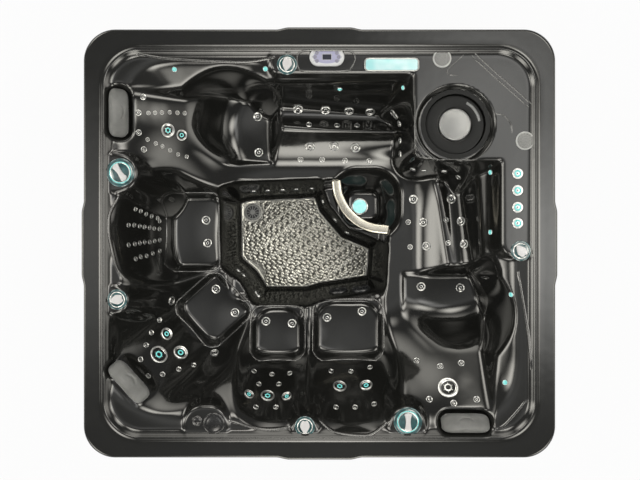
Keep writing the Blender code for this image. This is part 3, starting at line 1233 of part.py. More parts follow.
def build_drain_spout(panel):
    """Drain spout through the left panel, with a cap that turns on it."""
    half_x = cabinet_half()[0]
    place = Vector((-half_x, DRAIN_SHARE[0] * HALF_WIDTH, DRAIN_HEIGHT))
    rotation = upright(Vector((-1.0, 0.0, 0.0)))
    add_object("drain_spout", turned((
        (DRAIN_RADIUS - DRAIN_WALL, -DRAIN_REACH), (DRAIN_RADIUS, -DRAIN_REACH), (DRAIN_RADIUS, CLEARANCE),
        (DRAIN_FLANGE_RADIUS, CLEARANCE), (DRAIN_FLANGE_RADIUS, DRAIN_WALL), (DRAIN_RADIUS, DRAIN_WALL),
        (DRAIN_RADIUS, DRAIN_CAP_LENGTH - DRAIN_WALL - 2 * CLEARANCE),
        (DRAIN_RADIUS - DRAIN_WALL, DRAIN_CAP_LENGTH - DRAIN_WALL - 2 * CLEARANCE)), COARSE_SIDES),
        GREY_PLASTIC, place, rotation=rotation, smooth_deg=35.0)
    start = DRAIN_WALL + CLEARANCE
    cap_hole = hole_radius(DRAIN_RADIUS, COARSE_SIDES)
    add_object("drain_cap", turned((
        (cap_hole, start), (DRAIN_CAP_RADIUS, start), (DRAIN_CAP_RADIUS, DRAIN_CAP_LENGTH),
        (0.0, DRAIN_CAP_LENGTH), (0.0, DRAIN_CAP_LENGTH - DRAIN_WALL),
        (cap_hole, DRAIN_CAP_LENGTH - DRAIN_WALL)), COARSE_SIDES),
        BLACK_PLASTIC, place, rotation=rotation, smooth_deg=35.0)
    hole = add_object("drain_hole_cutter", turned((
        (0.0, -2 * DRAIN_REACH), (DRAIN_RADIUS + CLEARANCE, -2 * DRAIN_REACH),
        (DRAIN_RADIUS + CLEARANCE, DRAIN_REACH), (0.0, DRAIN_REACH)), COARSE_SIDES),
        BLACK_PLASTIC, place, rotation=rotation)
    add_cut(panel, [hole])


def lying(bm):
    """Lays a turned piece down along X."""
    bmesh.ops.rotate(bm, verts=bm.verts, matrix=Matrix.Rotation(math.pi / 2, 3, "Y"))
    return bm


def build_equipment():
    """Pumps, heater, control box and blower on the base pan, behind the access panel."""
    floor = PAN_SLAB + CLEARANCE
    x, y = spot(BOX_SHARE)
    add_object("control_box", block(BOX_SIZE, BOX_SIZE[1] / 20), GREY_PLASTIC,
               (x, y, floor + BOX_STAND + BOX_SIZE[2] / 2))
    x, y = spot(HEATER_SHARE)
    cap = HEATER_RADIUS * 1.25
    half = HEATER_LENGTH / 2
    add_object("heater_tube", lying(turned((
        (0.0, -half), (cap, -half), (cap, -half * 0.85), (HEATER_RADIUS, -half * 0.85), (HEATER_RADIUS,
                                                                                         half * 0.85),
        (cap, half * 0.85), (cap, half), (0.0, half)), COARSE_SIDES)), STEEL,
        (x, y, floor + HEATER_STAND), smooth_deg=35.0)
    x, y = spot(PUMP_SHARE)
    height = floor + WET_END_RADIUS + CLEARANCE
    add_object("jet_pump_motor", lying(turned((
        (0.0, 0.0), (MOTOR_RADIUS * 0.9, 0.0), (MOTOR_RADIUS, MOTOR_RADIUS * 0.2),
        (MOTOR_RADIUS, MOTOR_LENGTH - MOTOR_RADIUS * 0.3), (MOTOR_RADIUS * 0.85, MOTOR_LENGTH),
        (0.0, MOTOR_LENGTH)),
        COARSE_SIDES)), BLACK_PLASTIC, (x + CLEARANCE, y, height), smooth_deg=35.0)
    add_object("jet_pump_wet_end", lying(turned((
        (0.0, -WET_END_LENGTH - WET_END_PORT_LENGTH), (WET_END_PORT_RADIUS,
                                                       -WET_END_LENGTH - WET_END_PORT_LENGTH),
        (WET_END_PORT_RADIUS, -WET_END_LENGTH), (WET_END_RADIUS * 0.8, -WET_END_LENGTH),
        (WET_END_RADIUS, -WET_END_LENGTH * 0.7), (WET_END_RADIUS, 0.0), (0.0, 0.0)), COARSE_SIDES)),
        BLACK_PLASTIC, (x, y, height), smooth_deg=35.0)
    x, y = spot(CIRCULATION_SHARE)
    add_object("circulation_pump", lying(turned((
        (0.0, 0.0), (CIRCULATION_RADIUS * 0.6, 0.0), (CIRCULATION_RADIUS * 0.6, CIRCULATION_LENGTH * 0.2),
        (CIRCULATION_RADIUS, CIRCULATION_LENGTH * 0.25), (CIRCULATION_RADIUS, CIRCULATION_LENGTH),
        (0.0, CIRCULATION_LENGTH)),
        COARSE_SIDES)), BLACK_PLASTIC, (x, y, floor + CIRCULATION_RADIUS), smooth_deg=35.0)
    x, y = spot(BLOWER_SHARE)
    add_object("air_blower", turned((
        (0.0, 0.0), (BLOWER_RADIUS, 0.0), (BLOWER_RADIUS, BLOWER_HEIGHT * 0.6), (BLOWER_RADIUS * 0.7,
                                                                                 BLOWER_HEIGHT * 0.8),
        (BLOWER_RADIUS * 0.3, BLOWER_HEIGHT * 0.85), (BLOWER_RADIUS * 0.3, BLOWER_HEIGHT), (0.0,
                                                                                            BLOWER_HEIGHT)),
        COARSE_SIDES), BLACK_PLASTIC, (x, y, floor), smooth_deg=35.0)
    build_suction_pipe()


def build_suction_pipe():
    """Suction pipe from the cover's barrel, round under the loungers, to the pump's port."""
    cover, normal = suction_place(SUCTION_SHARES[0])
    start = cover - normal * (BARREL_DEPTH + CLEARANCE)
    x, y = spot(PUMP_SHARE)
    port = x - WET_END_LENGTH - WET_END_PORT_LENGTH - CLEARANCE
    end = Vector((port, y, PAN_SLAB + WET_END_RADIUS + 2 * CLEARANCE))
    lead = Vector((-WET_END_PORT_LENGTH / 2, 0.0, 0.0))
    first = start - normal * SUCTION_PIPE_RADIUS
    between = [Vector((sx * HALF_LENGTH, sy * HALF_WIDTH, sz * TUB_HEIGHT)) for sx, sy,
               sz in SUCTION_PIPE_SHARES]
    route = [start] + smooth_route([first] + between + [end + lead], SUCTION_PIPE_POINTS) + [end]
    curve = bpy.data.curves.new("suction_pipe", "CURVE")
    curve.dimensions = "3D"
    curve.bevel_depth = SUCTION_PIPE_RADIUS
    curve.bevel_resolution = 2
    curve.use_fill_caps = True
    spline = curve.splines.new("POLY")
    spline.points.add(len(route) - 1)
    for point, place in zip(spline.points, route):
        point.co = (*place, 1.0)
    curve.materials.append(make_material("suction_pipe", *WHITE_PLASTIC))
    pipe = bpy.data.objects.new("suction_pipe", curve)
    bpy.context.scene.collection.objects.link(pipe)


def main():
    """Clears the scene and builds every piece."""
    for old in list(bpy.data.objects):
        bpy.data.objects.remove(old, do_unlink=True)
    shell = build_shell()
    cutters = []
    build_valves(cutters)
    build_speakers(cutters)
    build_skimmer(cutters)
    build_control_panel(cutters)
    build_waterfall(cutters)
    build_jets(cutters)
    build_light_and_drains(cutters)
    build_pillows(cutters)
    build_grab_rail(cutters)
    add_cut(shell, cutters)
    build_cabinet()
    build_equipment()


main()
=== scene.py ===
"""Visual model of the hot tub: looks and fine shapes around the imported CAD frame."""
import math

import bpy
import numpy as np
from mathutils import Matrix, Vector


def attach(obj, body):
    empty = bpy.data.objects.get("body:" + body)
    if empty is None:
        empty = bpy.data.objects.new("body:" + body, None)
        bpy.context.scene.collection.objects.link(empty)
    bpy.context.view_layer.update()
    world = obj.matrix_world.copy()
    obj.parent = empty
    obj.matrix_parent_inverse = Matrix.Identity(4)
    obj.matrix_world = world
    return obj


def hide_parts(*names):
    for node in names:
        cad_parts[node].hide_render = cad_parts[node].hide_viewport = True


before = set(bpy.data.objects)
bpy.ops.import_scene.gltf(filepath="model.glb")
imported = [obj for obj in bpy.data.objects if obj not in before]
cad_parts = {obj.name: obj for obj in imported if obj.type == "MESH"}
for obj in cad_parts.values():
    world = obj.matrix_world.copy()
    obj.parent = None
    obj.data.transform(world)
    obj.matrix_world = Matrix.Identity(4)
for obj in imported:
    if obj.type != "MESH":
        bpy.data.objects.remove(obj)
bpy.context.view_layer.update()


# Camera: straight above the tub, a little over three metres from the rim, as in the photograph.
# Its place and lens are set by the rim's outline there.
def in_scene(name, data):
    """An object with its data, linked to the scene."""
    thing = bpy.data.objects.new(name, data)
    bpy.context.scene.collection.objects.link(thing)
    return thing


camera = in_scene("camera", bpy.data.cameras.new("camera"))
camera.location = (0.0023, 0.0160, 4.1)
camera.data.lens = 39.13
camera.data.sensor_width = 36.0
camera.data.clip_end = 50.0
bpy.context.scene.camera = camera
bpy.context.scene.view_settings.view_transform = "Standard"


# Shell: one acrylic sheet, vacuum formed over a mould with every seat, leg channel and ledge in it.
# It is 12 mm thick with its backing, glossy black in front, and rolled down at the rim over the cabinet.
# It rests on the top frame, and the fittings are clamped through holes in it.
def smooth_step(t):
    """0 below 0, 1 above 1, and a soft S between."""
    t = np.clip(t, 0.0, 1.0)
    return t * t * (3.0 - 2.0 * t)


def smooth_low(a, b, blend):
    """The lower of two heights, rounded where they meet over a blend height."""
    h = np.clip(0.5 + 0.5 * (b - a) / blend, 0.0, 1.0)
    return b * (1.0 - h) + a * h - blend * h * (1.0 - h)


def smooth_high(a, b, blend):
    """The higher of two heights, rounded where they meet."""
    return -smooth_low(-a, -b, blend)


def soft_ramp(t, width):
    """0 below 0 and t above it, with the bend rounded over a width on either side."""
    bend = np.clip(t / width, -1.0, 1.0) + 1.0
    return np.where(t > width, t, width * bend * bend / 4.0)


def local(x, y, centre, heading_deg=0.0):
    """Plan places seen from a centre: the first runs along the heading, the second to its left."""
    c, s = math.cos(math.radians(heading_deg)), math.sin(math.radians(heading_deg))
    dx, dy = x - centre[0], y - centre[1]
    return dx * c + dy * s, dy * c - dx * s


def box_distance(u, v, half_u, half_v, corner):
    """Distance outside a rounded rectangle round the origin, negative inside."""
    qx, qy = np.abs(u) - half_u + corner, np.abs(v) - half_v + corner
    return np.hypot(np.maximum(qx, 0.0), np.maximum(qy, 0.0)) + np.minimum(np.maximum(qx, qy), 0.0) - corner


def outline_distance(x, y, points):
    """Distance outside a closed outline, negative inside."""
    nearest = np.full(np.shape(x), np.inf)
    inside = np.zeros(np.shape(x), dtype=bool)
    for (ax, ay), (bx, by) in zip(points, points[1:] + points[:1]):
        ex, ey = bx - ax, by - ay
        t = np.clip(((x - ax) * ex + (y - ay) * ey) / (ex * ex + ey * ey), 0.0, 1.0)
        nearest = np.minimum(nearest, np.hypot(x - ax - t * ex, y - ay - t * ey))
        crosses = (ay > y) != (by > y)
        inside ^= crosses & (x < ax + ex * (y - ay) / (ey if ey else math.inf))
    return np.where(inside, -nearest, nearest)


RIM_HEIGHT = 0.9
DECK = -0.012
DECK_HALF = (0.992, 0.892)
DECK_CORNER = 0.170
WALL_SLOPE = 8.0
WALL_ROUNDING = 0.008
SIDE_ROUNDING = 0.022
POCKET_BLEND = 0.045
LEDGE_BLEND = 0.020
SEATS = (
    {"centre": (-0.6446, 0.057), "heading": 180.0, "half": (0.136, 0.196),
     "front": 0.230, "run": 0.175, "side": 2.0, "corners": (0.060, 0.080)},
    {"centre": (-0.5500, -0.345), "heading": 222.0, "half": (0.145, 0.150),
     "front": 0.260, "run": 0.350, "side": 1.6, "corners": (0.040, 0.075)},
    {"centre": (-0.2167, -0.462), "heading": 270.0, "half": (0.135, 0.134),
     "front": 0.230, "run": 0.255, "side": 2.4, "corners": (0.115, 0.040)},
    {"centre": (0.1485, -0.445), "heading": 270.0, "half": (0.150, 0.176),
     "front": 0.230, "run": 0.268, "side": 2.4, "corners": (0.110, 0.045)},
)
LOUNGERS = (
    {"centre": (-0.4488, 0.578), "heading": 180.0, "half": (0.200, 0.172),
     "front": 0.205, "bow": (-1, 0.055)},
    {"centre": (0.6292, -0.346), "heading": 270.0, "half": (0.182, 0.205),
     "front": 0.190, "bow": (1, 0.050)},
)
LEGS = (
    {"centre": (0.0935, 0.645), "heading": 0.0, "half": (0.315, 0.082)},
    {"centre": (0.0935, 0.474), "heading": 0.0, "half": (0.315, 0.079)},
    {"centre": (0.4972, 0.100), "heading": 94.0, "half": (0.232, 0.074)},
    {"centre": (0.6732, 0.100), "heading": 94.0, "half": (0.232, 0.078)},
)
DISHES = (
    [(-0.9350, 0.790), (-0.8690, 0.855), (-0.1430, 0.855), (-0.1210, 0.400), (-0.9350, 0.400)],
    [(0.4180, 0.365), (0.8600, 0.365), (0.9550, -0.250), (0.9720, -0.560), (0.9550, -0.720),
     (0.8690, -0.820), (0.4400, -0.820)],
)
FLOOR = [
    (-0.4686, 0.241), (-0.3960, 0.258), (-0.0154, 0.275), (0.0143, 0.189), (0.0660, 0.126), (0.1364, 0.045),
    (0.2574, -0.005), (0.2981, -0.024), (0.2871, -0.203), (0.0143, -0.243), (-0.0770, -0.270),
    (-0.3113, -0.269), (-0.3751, -0.168), (-0.4620, -0.094),
]
WELLS = (
    {"centre": (-0.0726, 0.008), "half": (0.397, 0.292), "corner": 0.060,
     "depth": 0.450, "slope": 3.3, "foot": 0.030},
    {"centre": (0.1749, 0.151), "half": (0.160, 0.154), "corner": 0.030,
     "depth": 0.560, "slope": WALL_SLOPE, "foot": WALL_ROUNDING},
    {"centre": (0.2365, 0.203), "half": (0.088, 0.082), "corner": 0.045,
     "depth": 0.640, "slope": 2.5, "foot": SIDE_ROUNDING},
)
FLOOR_DEPTH = 0.830
LEDGES = (
    ((0.2057, 0.855), (0.430, 0.066), 0.030), ((0.9735, 0.190), (0.130, 0.250), 0.060),
    ((-0.9460, -0.262), (0.062, 0.062), 0.060), ((-0.0671, -0.860), (0.058, 0.060), 0.056),
    ((-0.9350, 0.327), (0.092, 0.088), 0.086), ((0.4081, -0.840), (0.082, 0.084), 0.080),
    ((-0.5258, -0.840), (0.100, 0.090), 0.085),
)
PILLOWS = (
    {"name": "pillow_top_lounger", "centre": (-0.9372, 0.608), "heading": 180.0, "depth": 0.040},
    {"name": "pillow_corner_seat", "centre": (-0.8866, -0.643), "heading": 222.0, "depth": 0.036},
    {"name": "pillow_right_lounger", "centre": (0.6787, -0.838), "heading": 270.0, "depth": 0.040},
)
BLOCK_CENTRE = (0.7667, 0.6925)
BLOCK_HALF = (0.3333, 0.3075)
FILTER_PLACE = (0.6336, 0.556)


def back_bow(v, half_v):
    """How far a back's foot is drawn forward at its sides: a parabola across the seat."""
    return 0.045 * np.clip(v / half_v, -2.0, 2.0) ** 2


def bowl_share(u, v, half_u, half_v):
    """1 in the middle of a rectangle, falling to 0 at its sides along two parabolas."""
    return np.clip(1.0 - (u / half_u) ** 2, 0.0, 1.0) * np.clip(1.0 - (v / half_v) ** 2, 0.0, 1.0)


def seat_height(x, y, seat, depth=0.420, climb=0.390, recess=0.016, hollow=0.014):
    """Pan with a shallow recess, a bowed back that climbs to the deck, steeper sides and a front wall."""
    u, v = local(x, y, seat["centre"], seat["heading"])
    half_u, half_v = seat["half"]
    back = soft_ramp(u + back_bow(v, half_v) - half_u, 0.030) * climb / seat["run"]
    side = soft_ramp(np.abs(v) - half_v, SIDE_ROUNDING) * seat["side"]
    front = soft_ramp(-u - seat["front"], 0.010) * WALL_SLOPE
    rise = np.hypot(np.hypot(back, side), front)
    pan = box_distance(u, v, half_u, half_v, np.where(u > 0.0, seat["corners"][1], seat["corners"][0]))
    return rise - depth - recess * smooth_step(-pan / 0.026) - hollow * bowl_share(u, v, half_u, half_v)


def lounger_height(x, y, lounger, depth=0.400, hollow=0.020, steepest=1.7, side_slope=5.5, front_slope=3.0):
    """Bucket, a steep rise to the knee ridge, then a reclined back, with one bowed side."""
    u, v = local(x, y, lounger["centre"], lounger["heading"])
    half_u, half_v = lounger["half"]
    reach = u + back_bow(v, half_v)
    steep = soft_ramp(reach - 0.060, 0.100) * steepest
    reclined = 0.160 + (reach - 0.152) * 0.210 / 0.338
    back = np.maximum(smooth_low(steep, reclined, POCKET_BLEND), 0.0)
    hand, bulge = lounger["bow"]
    bowed = bulge * np.minimum((u / half_u) ** 2, 1.0) * (v * hand > 0.0)
    side = soft_ramp(np.abs(v) + bowed - half_v, SIDE_ROUNDING) * side_slope
    front = soft_ramp(-u - lounger["front"], SIDE_ROUNDING) * front_slope
    rise = np.hypot(np.hypot(back, side), front)
    return rise - depth - hollow * bowl_share(u, v, half_u, half_v)


def leg_height(x, y, leg, depth=0.320, fall=0.040, trough=0.060, end_slope=4.0):
    """Hollow trough that falls a little towards the feet, then a steep end."""
    u, v = local(x, y, leg["centre"], leg["heading"])
    half_u, half_v = leg["half"]
    hollow = trough * np.minimum((v / half_v) ** 2, 1.0)
    side = soft_ramp(np.abs(v) - half_v, WALL_ROUNDING) * WALL_SLOPE
    end = soft_ramp(np.abs(u) - half_u, 0.024) * end_slope
    return hollow + side + end - depth - fall * np.clip(u / half_u, -1.0, 1.0)


def well_height(x, y, well):
    """A flat-bottomed pocket with sloping walls, rounded at their foot."""
    u, v = local(x, y, well["centre"])
    away = box_distance(u, v, *well["half"], well["corner"])
    return soft_ramp(away, well["foot"]) * well["slope"] - well["depth"]


def dish_height(x, y, outline, reach=0.160, slope=0.75):
    """Hollow round a lounger: it slopes down from the crest and levels out, with no crease at a corner."""
    inward = np.full(np.shape(x), 1.0)
    for (ax, ay), (bx, by) in zip(outline, outline[1:] + outline[:1]):
        away = ((x - ax) * (by - ay) - (y - ay) * (bx - ax)) / math.hypot(bx - ax, by - ay)
        inward = smooth_low(inward, away, reach)
    return DECK - slope * (soft_ramp(inward, LEDGE_BLEND) - soft_ramp(inward - reach, 0.060))


def deck_inset(x, y):
    """Distance inside the deck's rounded outline, negative outside."""
    return -box_distance(x, y, *DECK_HALF, DECK_CORNER)


def from_filter(x, y):
    """Plan distance from the middle of the filter."""
    return np.hypot(x - FILTER_PLACE[0], y - FILTER_PLACE[1])


def block_height(x, y, sink_depth=0.030, sink_radius=0.165):
    """The filter's block: flat with a round sink in it, steep near its inner corner and gentler beyond."""
    u, v = local(x, y, BLOCK_CENTRE)
    away = np.maximum(box_distance(u, v, *BLOCK_HALF, 0.060), 0.0)
    u, v = local(x, y, FILTER_PLACE, 225.0)
    sink = -sink_depth * (1.0 - smooth_step((np.hypot(u - 0.008, v) - sink_radius) / SIDE_ROUNDING))
    from_corner = np.hypot(x - BLOCK_CENTRE[0] + BLOCK_HALF[0], y - BLOCK_CENTRE[1] + BLOCK_HALF[1])
    fall = 7.0 - 4.5 * smooth_step((from_corner - 0.150) / 0.150)
    return sink + DECK - away * fall


def nested(height, x, y, pillow):
    """The face with a pillow's tilted nest sunk into it, eased in round its edge."""
    u, v = local(x, y, pillow["centre"], pillow["heading"])
    nest = u * 0.7813 - pillow["depth"] - 0.0189
    cover = 1.0 - smooth_step(box_distance(u, v, 0.0378, 0.110, 0.034) / SIDE_ROUNDING)
    return height * (1.0 - cover) + nest * cover


def moulded_height(x, y, funnel_fall=0.390, funnel_reach=0.500, ledge_slope=2.5, guard_slope=5.0):
    """Height of the mould over the rim's flat: the lowest pocket wins, then ledges rise."""
    inset = deck_inset(x, y)
    deck = DECK * smooth_step(inset / LEDGE_BLEND)
    funnel = smooth_low(DECK_HALF[0] - np.abs(x), DECK_HALF[1] - np.abs(y), 0.300)
    height = deck - funnel_fall * smooth_step((funnel - 0.030) / funnel_reach)
    for dish in DISHES:
        height = smooth_low(height, dish_height(x, y, dish), LEDGE_BLEND)
    for find, pockets in ((seat_height, SEATS), (lounger_height, LOUNGERS), (leg_height, LEGS),
                          (well_height, WELLS)):
        for pocket in pockets:
            height = smooth_low(height, find(x, y, pocket), POCKET_BLEND)
    floor = soft_ramp(outline_distance(x, y, FLOOR), WALL_ROUNDING) * WALL_SLOPE - FLOOR_DEPTH
    height = smooth_low(height, floor, POCKET_BLEND)
    for centre, half, corner in LEDGES:
        u, v = local(x, y, centre)
        ledge = DECK - np.maximum(box_distance(u, v, *half, corner), 0.0) * ledge_slope
        height = smooth_high(height, ledge, LEDGE_BLEND)
    height = smooth_high(height, block_height(x, y), LEDGE_BLEND)
    guard = DECK - np.maximum(inset - 0.022, 0.0) * guard_slope
    height = np.minimum(smooth_high(height, guard, LEDGE_BLEND), deck)
    height = deck + (height - deck) * smooth_step(inset / LEDGE_BLEND)
    for pillow in PILLOWS:
        height = nested(height, x, y, pillow)
    return height


FIELD_CORNER = (1.104, 1.004)
FIELD_STEP = 0.004


def drawn_field(reach=6, spread=1.75):
    """The mould's height every 4 mm, with each bend inside the rim rounded as the drawn sheet rounds it.

    The rounding is a mean of the steps within reach, weighted by a bell curve of that spread.
    """
    places = [np.linspace(-edge, edge, round(2 * edge / FIELD_STEP) + 1) for edge in FIELD_CORNER]
    x, y = np.meshgrid(*places, indexing="ij")
    mould = moulded_height(x, y)
    weights = np.exp(-0.5 * (np.arange(-reach, reach + 1) / spread) ** 2)
    soft = mould
    for axis in (0, 1):
        size = soft.shape[axis]
        wide = np.pad(soft, [(reach, reach) if k == axis else (0, 0) for k in (0, 1)], mode="edge")
        soft = sum(weight * np.take(wide, np.arange(k, k + size), axis=axis)
                   for k, weight in enumerate(weights / weights.sum()))
    amount = smooth_step(deck_inset(x, y) / 0.030) * smooth_step((from_filter(x, y) - 0.185) / 0.030)
    return mould + (soft - mould) * amount


FIELD = drawn_field()


def tub_height(x, y, bead_height=0.006, bead_width=0.012):
    """Height of the shell's face, from the four nearest values of the field, with the rim's bead on top."""
    px = np.clip((x + FIELD_CORNER[0]) / FIELD_STEP, 0.0, FIELD.shape[0] - 1.001)
    py = np.clip((y + FIELD_CORNER[1]) / FIELD_STEP, 0.0, FIELD.shape[1] - 1.001)
    i, j = px.astype(int), py.astype(int)
    s, t = px - i, py - j
    low = FIELD[i, j] * (1.0 - s) + FIELD[i + 1, j] * s
    high = FIELD[i, j + 1] * (1.0 - s) + FIELD[i + 1, j + 1] * s
    return low * (1.0 - t) + high * t + bead_height * np.exp(-(deck_inset(x, y) / bead_width) ** 2)


def tub_normal(x, y, step=0.004):
    """Unit normals of the shell's face at plan places."""
    slope_x = (tub_height(x + step, y) - tub_height(x - step, y)) / (2 * step)
    slope_y = (tub_height(x, y + step) - tub_height(x, y - step)) / (2 * step)
    normal = np.stack((-slope_x, -slope_y, np.ones_like(slope_x)), axis=-1)
    return normal / np.linalg.norm(normal, axis=-1, keepdims=True)


def add_node(tree, kind, values=None, **settings):
    """A shader node with its settings, and socket values by name or number."""
    node = tree.nodes.new(kind)
    for key, value in settings.items():
        setattr(node, key, value)
    for key, value in (values or {}).items():
        node.inputs[key].default_value = value
    return node


def new_material(name, roughness, metallic=0.0, **sockets):
    """A material with one Principled shader and fixed values on its sockets."""
    material = bpy.data.materials.new(name)
    material.use_nodes = True
    shader = material.node_tree.nodes["Principled BSDF"]
    shader.inputs["Roughness"].default_value = roughness
    shader.inputs["Metallic"].default_value = metallic
    for key, value in sockets.items():
        shader.inputs[key.replace("_", " ")].default_value = value
    return material, material.node_tree, shader


def ramp_between(tree, value, low, high, start=0.0, end=1.0):
    """A colour ramp between two colours, fed by a value."""
    ramp = add_node(tree, "ShaderNodeValToRGB")
    for element, position, colour in zip(ramp.color_ramp.elements, (start, end), (low, high)):
        element.position = position
        element.color = (*colour, 1.0)
    tree.links.new(value, ramp.inputs["Fac"])
    return ramp.outputs["Color"]


def surface_texture(tree, kind, values, **settings):
    """A texture of a kind, such as Noise, laid on the piece's own coordinates."""
    texture = add_node(tree, "ShaderNodeTex" + kind, values, **settings)
    place = add_node(tree, "ShaderNodeTexCoord")
    tree.links.new(place.outputs["Object"], texture.inputs["Vector"])
    return texture


def mixed_colour(tree, factor, first, second, **settings):
    """Two colours mixed by a factor, each given as a node's output or as a plain value."""
    mix = add_node(tree, "ShaderNodeMix", data_type="RGBA", **settings)
    for socket, value in ((mix.inputs[0], factor), (mix.inputs[6], first), (mix.inputs[7], second)):
        if isinstance(value, bpy.types.NodeSocket):
            tree.links.new(value, socket)
        else:
            socket.default_value = value
    return mix.outputs[2]


def value_between(tree, value, low, high, start=0.0, end=1.0):
    """A value that runs from low to high while another runs from start to end."""
    spread = add_node(tree, "ShaderNodeMapRange",
                      {"From Min": start, "From Max": end, "To Min": low, "To Max": high})
    tree.links.new(value, spread.inputs["Value"])
    return spread.outputs["Result"]


def add_bump(tree, shader, value, distance):
    """Turns a shader's normal by a value taken as a height of up to a distance."""
    bump = add_node(tree, "ShaderNodeBump", {"Strength": 1.0, "Distance": distance})
    tree.links.new(value, bump.inputs["Height"])
    tree.links.new(bump.outputs["Normal"], shader.inputs["Normal"])


def acrylic_finish():
    """Glossy black acrylic with a faint draw ripple, and a matt tan fibre backing behind it."""
    material, tree, shader = new_material("acrylic", 0.08, Specular_IOR_Level=0.55)
    ripple = surface_texture(tree, "Noise", {"Scale": 7.0, "Detail": 2.0})
    haze = surface_texture(tree, "Noise", {"Scale": 3.0, "Detail": 5.0, "Roughness": 0.7})
    fibre = surface_texture(tree, "Noise", {"Scale": 260.0, "Detail": 4.0})
    behind = add_node(tree, "ShaderNodeNewGeometry").outputs["Backfacing"]
    rough = add_node(tree, "ShaderNodeMix", {3: 0.85})
    tree.links.new(behind, rough.inputs["Factor"])
    tree.links.new(value_between(tree, haze.outputs["Fac"], 0.05, 0.13), rough.inputs[2])
    tree.links.new(rough.outputs[0], shader.inputs["Roughness"])
    black = ramp_between(tree, haze.outputs["Fac"], (0.010, 0.010, 0.009), (0.017, 0.017, 0.015))
    tan = ramp_between(tree, fibre.outputs["Fac"], (0.22, 0.19, 0.13), (0.36, 0.32, 0.24))
    tree.links.new(mixed_colour(tree, behind, black, tan), shader.inputs["Base Color"])
    add_bump(tree, shader, ripple.outputs["Fac"], 0.0008)
    return material


def shell_grid(cells_x, cells_y, rounds):
    """Grid of plan places: rounded rings at the rim, drawn towards steep walls inside.

    In each round a place moves half way to the mean of its four neighbours, and a neighbour weighs more
    the longer the face to it is, its heights counted at 60 %, against the run in plan.
    """
    insets = np.concatenate((
        (0.008, 0.0, 0.0005, 0.002, 0.0036, 0.0067, 0.0107, 0.014, 0.030, 0.050, 0.072),
        np.arange(0.082, 0.130, 0.004)))
    half_x, half_y = 1.090, 0.990
    grids = []
    for half, cells in ((half_x, cells_x), (half_y, cells_y)):
        inner = half - insets[-1]
        grids.append(np.concatenate((
            insets - half, np.linspace(-inner, inner, cells + 1)[1:-1], (half - insets)[::-1])))
    x, y = np.meshgrid(*grids, indexing="ij")
    rings = len(insets)
    nx, ny = x.shape
    ring_x = np.minimum(np.arange(nx), nx - 1 - np.arange(nx))[:, None]
    ring_y = np.minimum(np.arange(ny), ny - 1 - np.arange(ny))[None, :]
    ring = np.minimum(ring_x, ring_y)
    inset = np.minimum(half_x - np.abs(x), half_y - np.abs(y))
    inset = np.where(ring < rings, insets[np.minimum(ring, rings - 1)], inset)
    radius = np.interp(inset, (0.0, 0.098, 0.126, 0.700), (0.145, 0.170, 0.170, 0.0))
    dx = np.abs(x) - (half_x - inset - radius)
    dy = np.abs(y) - (half_y - inset - radius)
    rounded = (dx > 0.0) & (dy > 0.0)
    scale = np.where(rounded, np.maximum(dx, dy) / np.maximum(np.hypot(dx, dy), 1e-6), 1.0)
    x = np.where(rounded, np.sign(x) * (half_x - inset - radius + dx * scale), x)
    y = np.where(rounded, np.sign(y) * (half_y - inset - radius + dy * scale), y)
    f = rings
    for _ in range(rounds):
        z = tub_height(x, y)
        pulls = []
        for axis in (0, 1):
            run = np.hypot(np.diff(x, axis=axis), np.diff(y, axis=axis))
            pulls.append(np.hypot(run, 0.6 * np.diff(z, axis=axis)) / np.maximum(run, 1e-6))
        left, right = pulls[0][f - 1:-f, f:-f], pulls[0][f:-f + 1, f:-f]
        near, far = pulls[1][f:-f, f - 1:-f], pulls[1][f:-f, f:-f + 1]
        total = left + right + near + far
        for grid in (x, y):
            mean = left * grid[f - 1:-f - 1, f:-f] + right * grid[f + 1:-f + 1, f:-f]
            mean = mean + near * grid[f:-f, f - 1:-f - 1] + far * grid[f:-f, f + 1:-f + 1]
            grid[f:-f, f:-f] = 0.5 * grid[f:-f, f:-f] + 0.5 * mean / total
    return x, y, ring, ring_x, ring_y


def grid_quads(index):
    """Corner numbers of the cells of a grid of points, given the points' own numbers."""
    return np.stack((index[:-1, :-1], index[1:, :-1], index[1:, 1:], index[:-1, 1:]), axis=-1).reshape(-1, 4)


def grid_mesh(name, points, normal=None, hole=None):
    """A smooth mesh from a grid of points, with given normals, less the cells that lie wholly in a hole."""
    quads = grid_quads(np.arange(points.shape[0] * points.shape[1]).reshape(points.shape[:2]))
    points = points.reshape(-1, 3)
    if hole is not None:
        used, quads = np.unique(quads[~hole.reshape(-1)[quads].all(axis=1)], return_inverse=True)
        quads, points, normal = quads.reshape(-1, 4), points[used], normal.reshape(-1, 3)[used]
    mesh = bpy.data.meshes.new(name)
    mesh.vertices.add(len(points))
    mesh.vertices.foreach_set("co", np.ascontiguousarray(points).reshape(-1))
    mesh.loops.add(quads.size)
    mesh.loops.foreach_set("vertex_index", quads.ravel())
    mesh.polygons.add(len(quads))
    mesh.polygons.foreach_set("loop_start", np.arange(0, quads.size, 4))
    mesh.update(calc_edges=True)
    mesh.shade_smooth()
    if normal is not None:
        mesh.normals_split_custom_set_from_vertices(normal.reshape(-1, 3))
    return mesh


def link_piece(name, mesh, materials, body, replaced=()):
    """Puts a mesh in the scene as a piece that rides a body, and may stand for CAD nodes."""
    for material in materials:
        mesh.materials.append(material)
    piece = in_scene(name, mesh)
    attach(piece, body)
    if replaced:
        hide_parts(*replaced)
    return piece


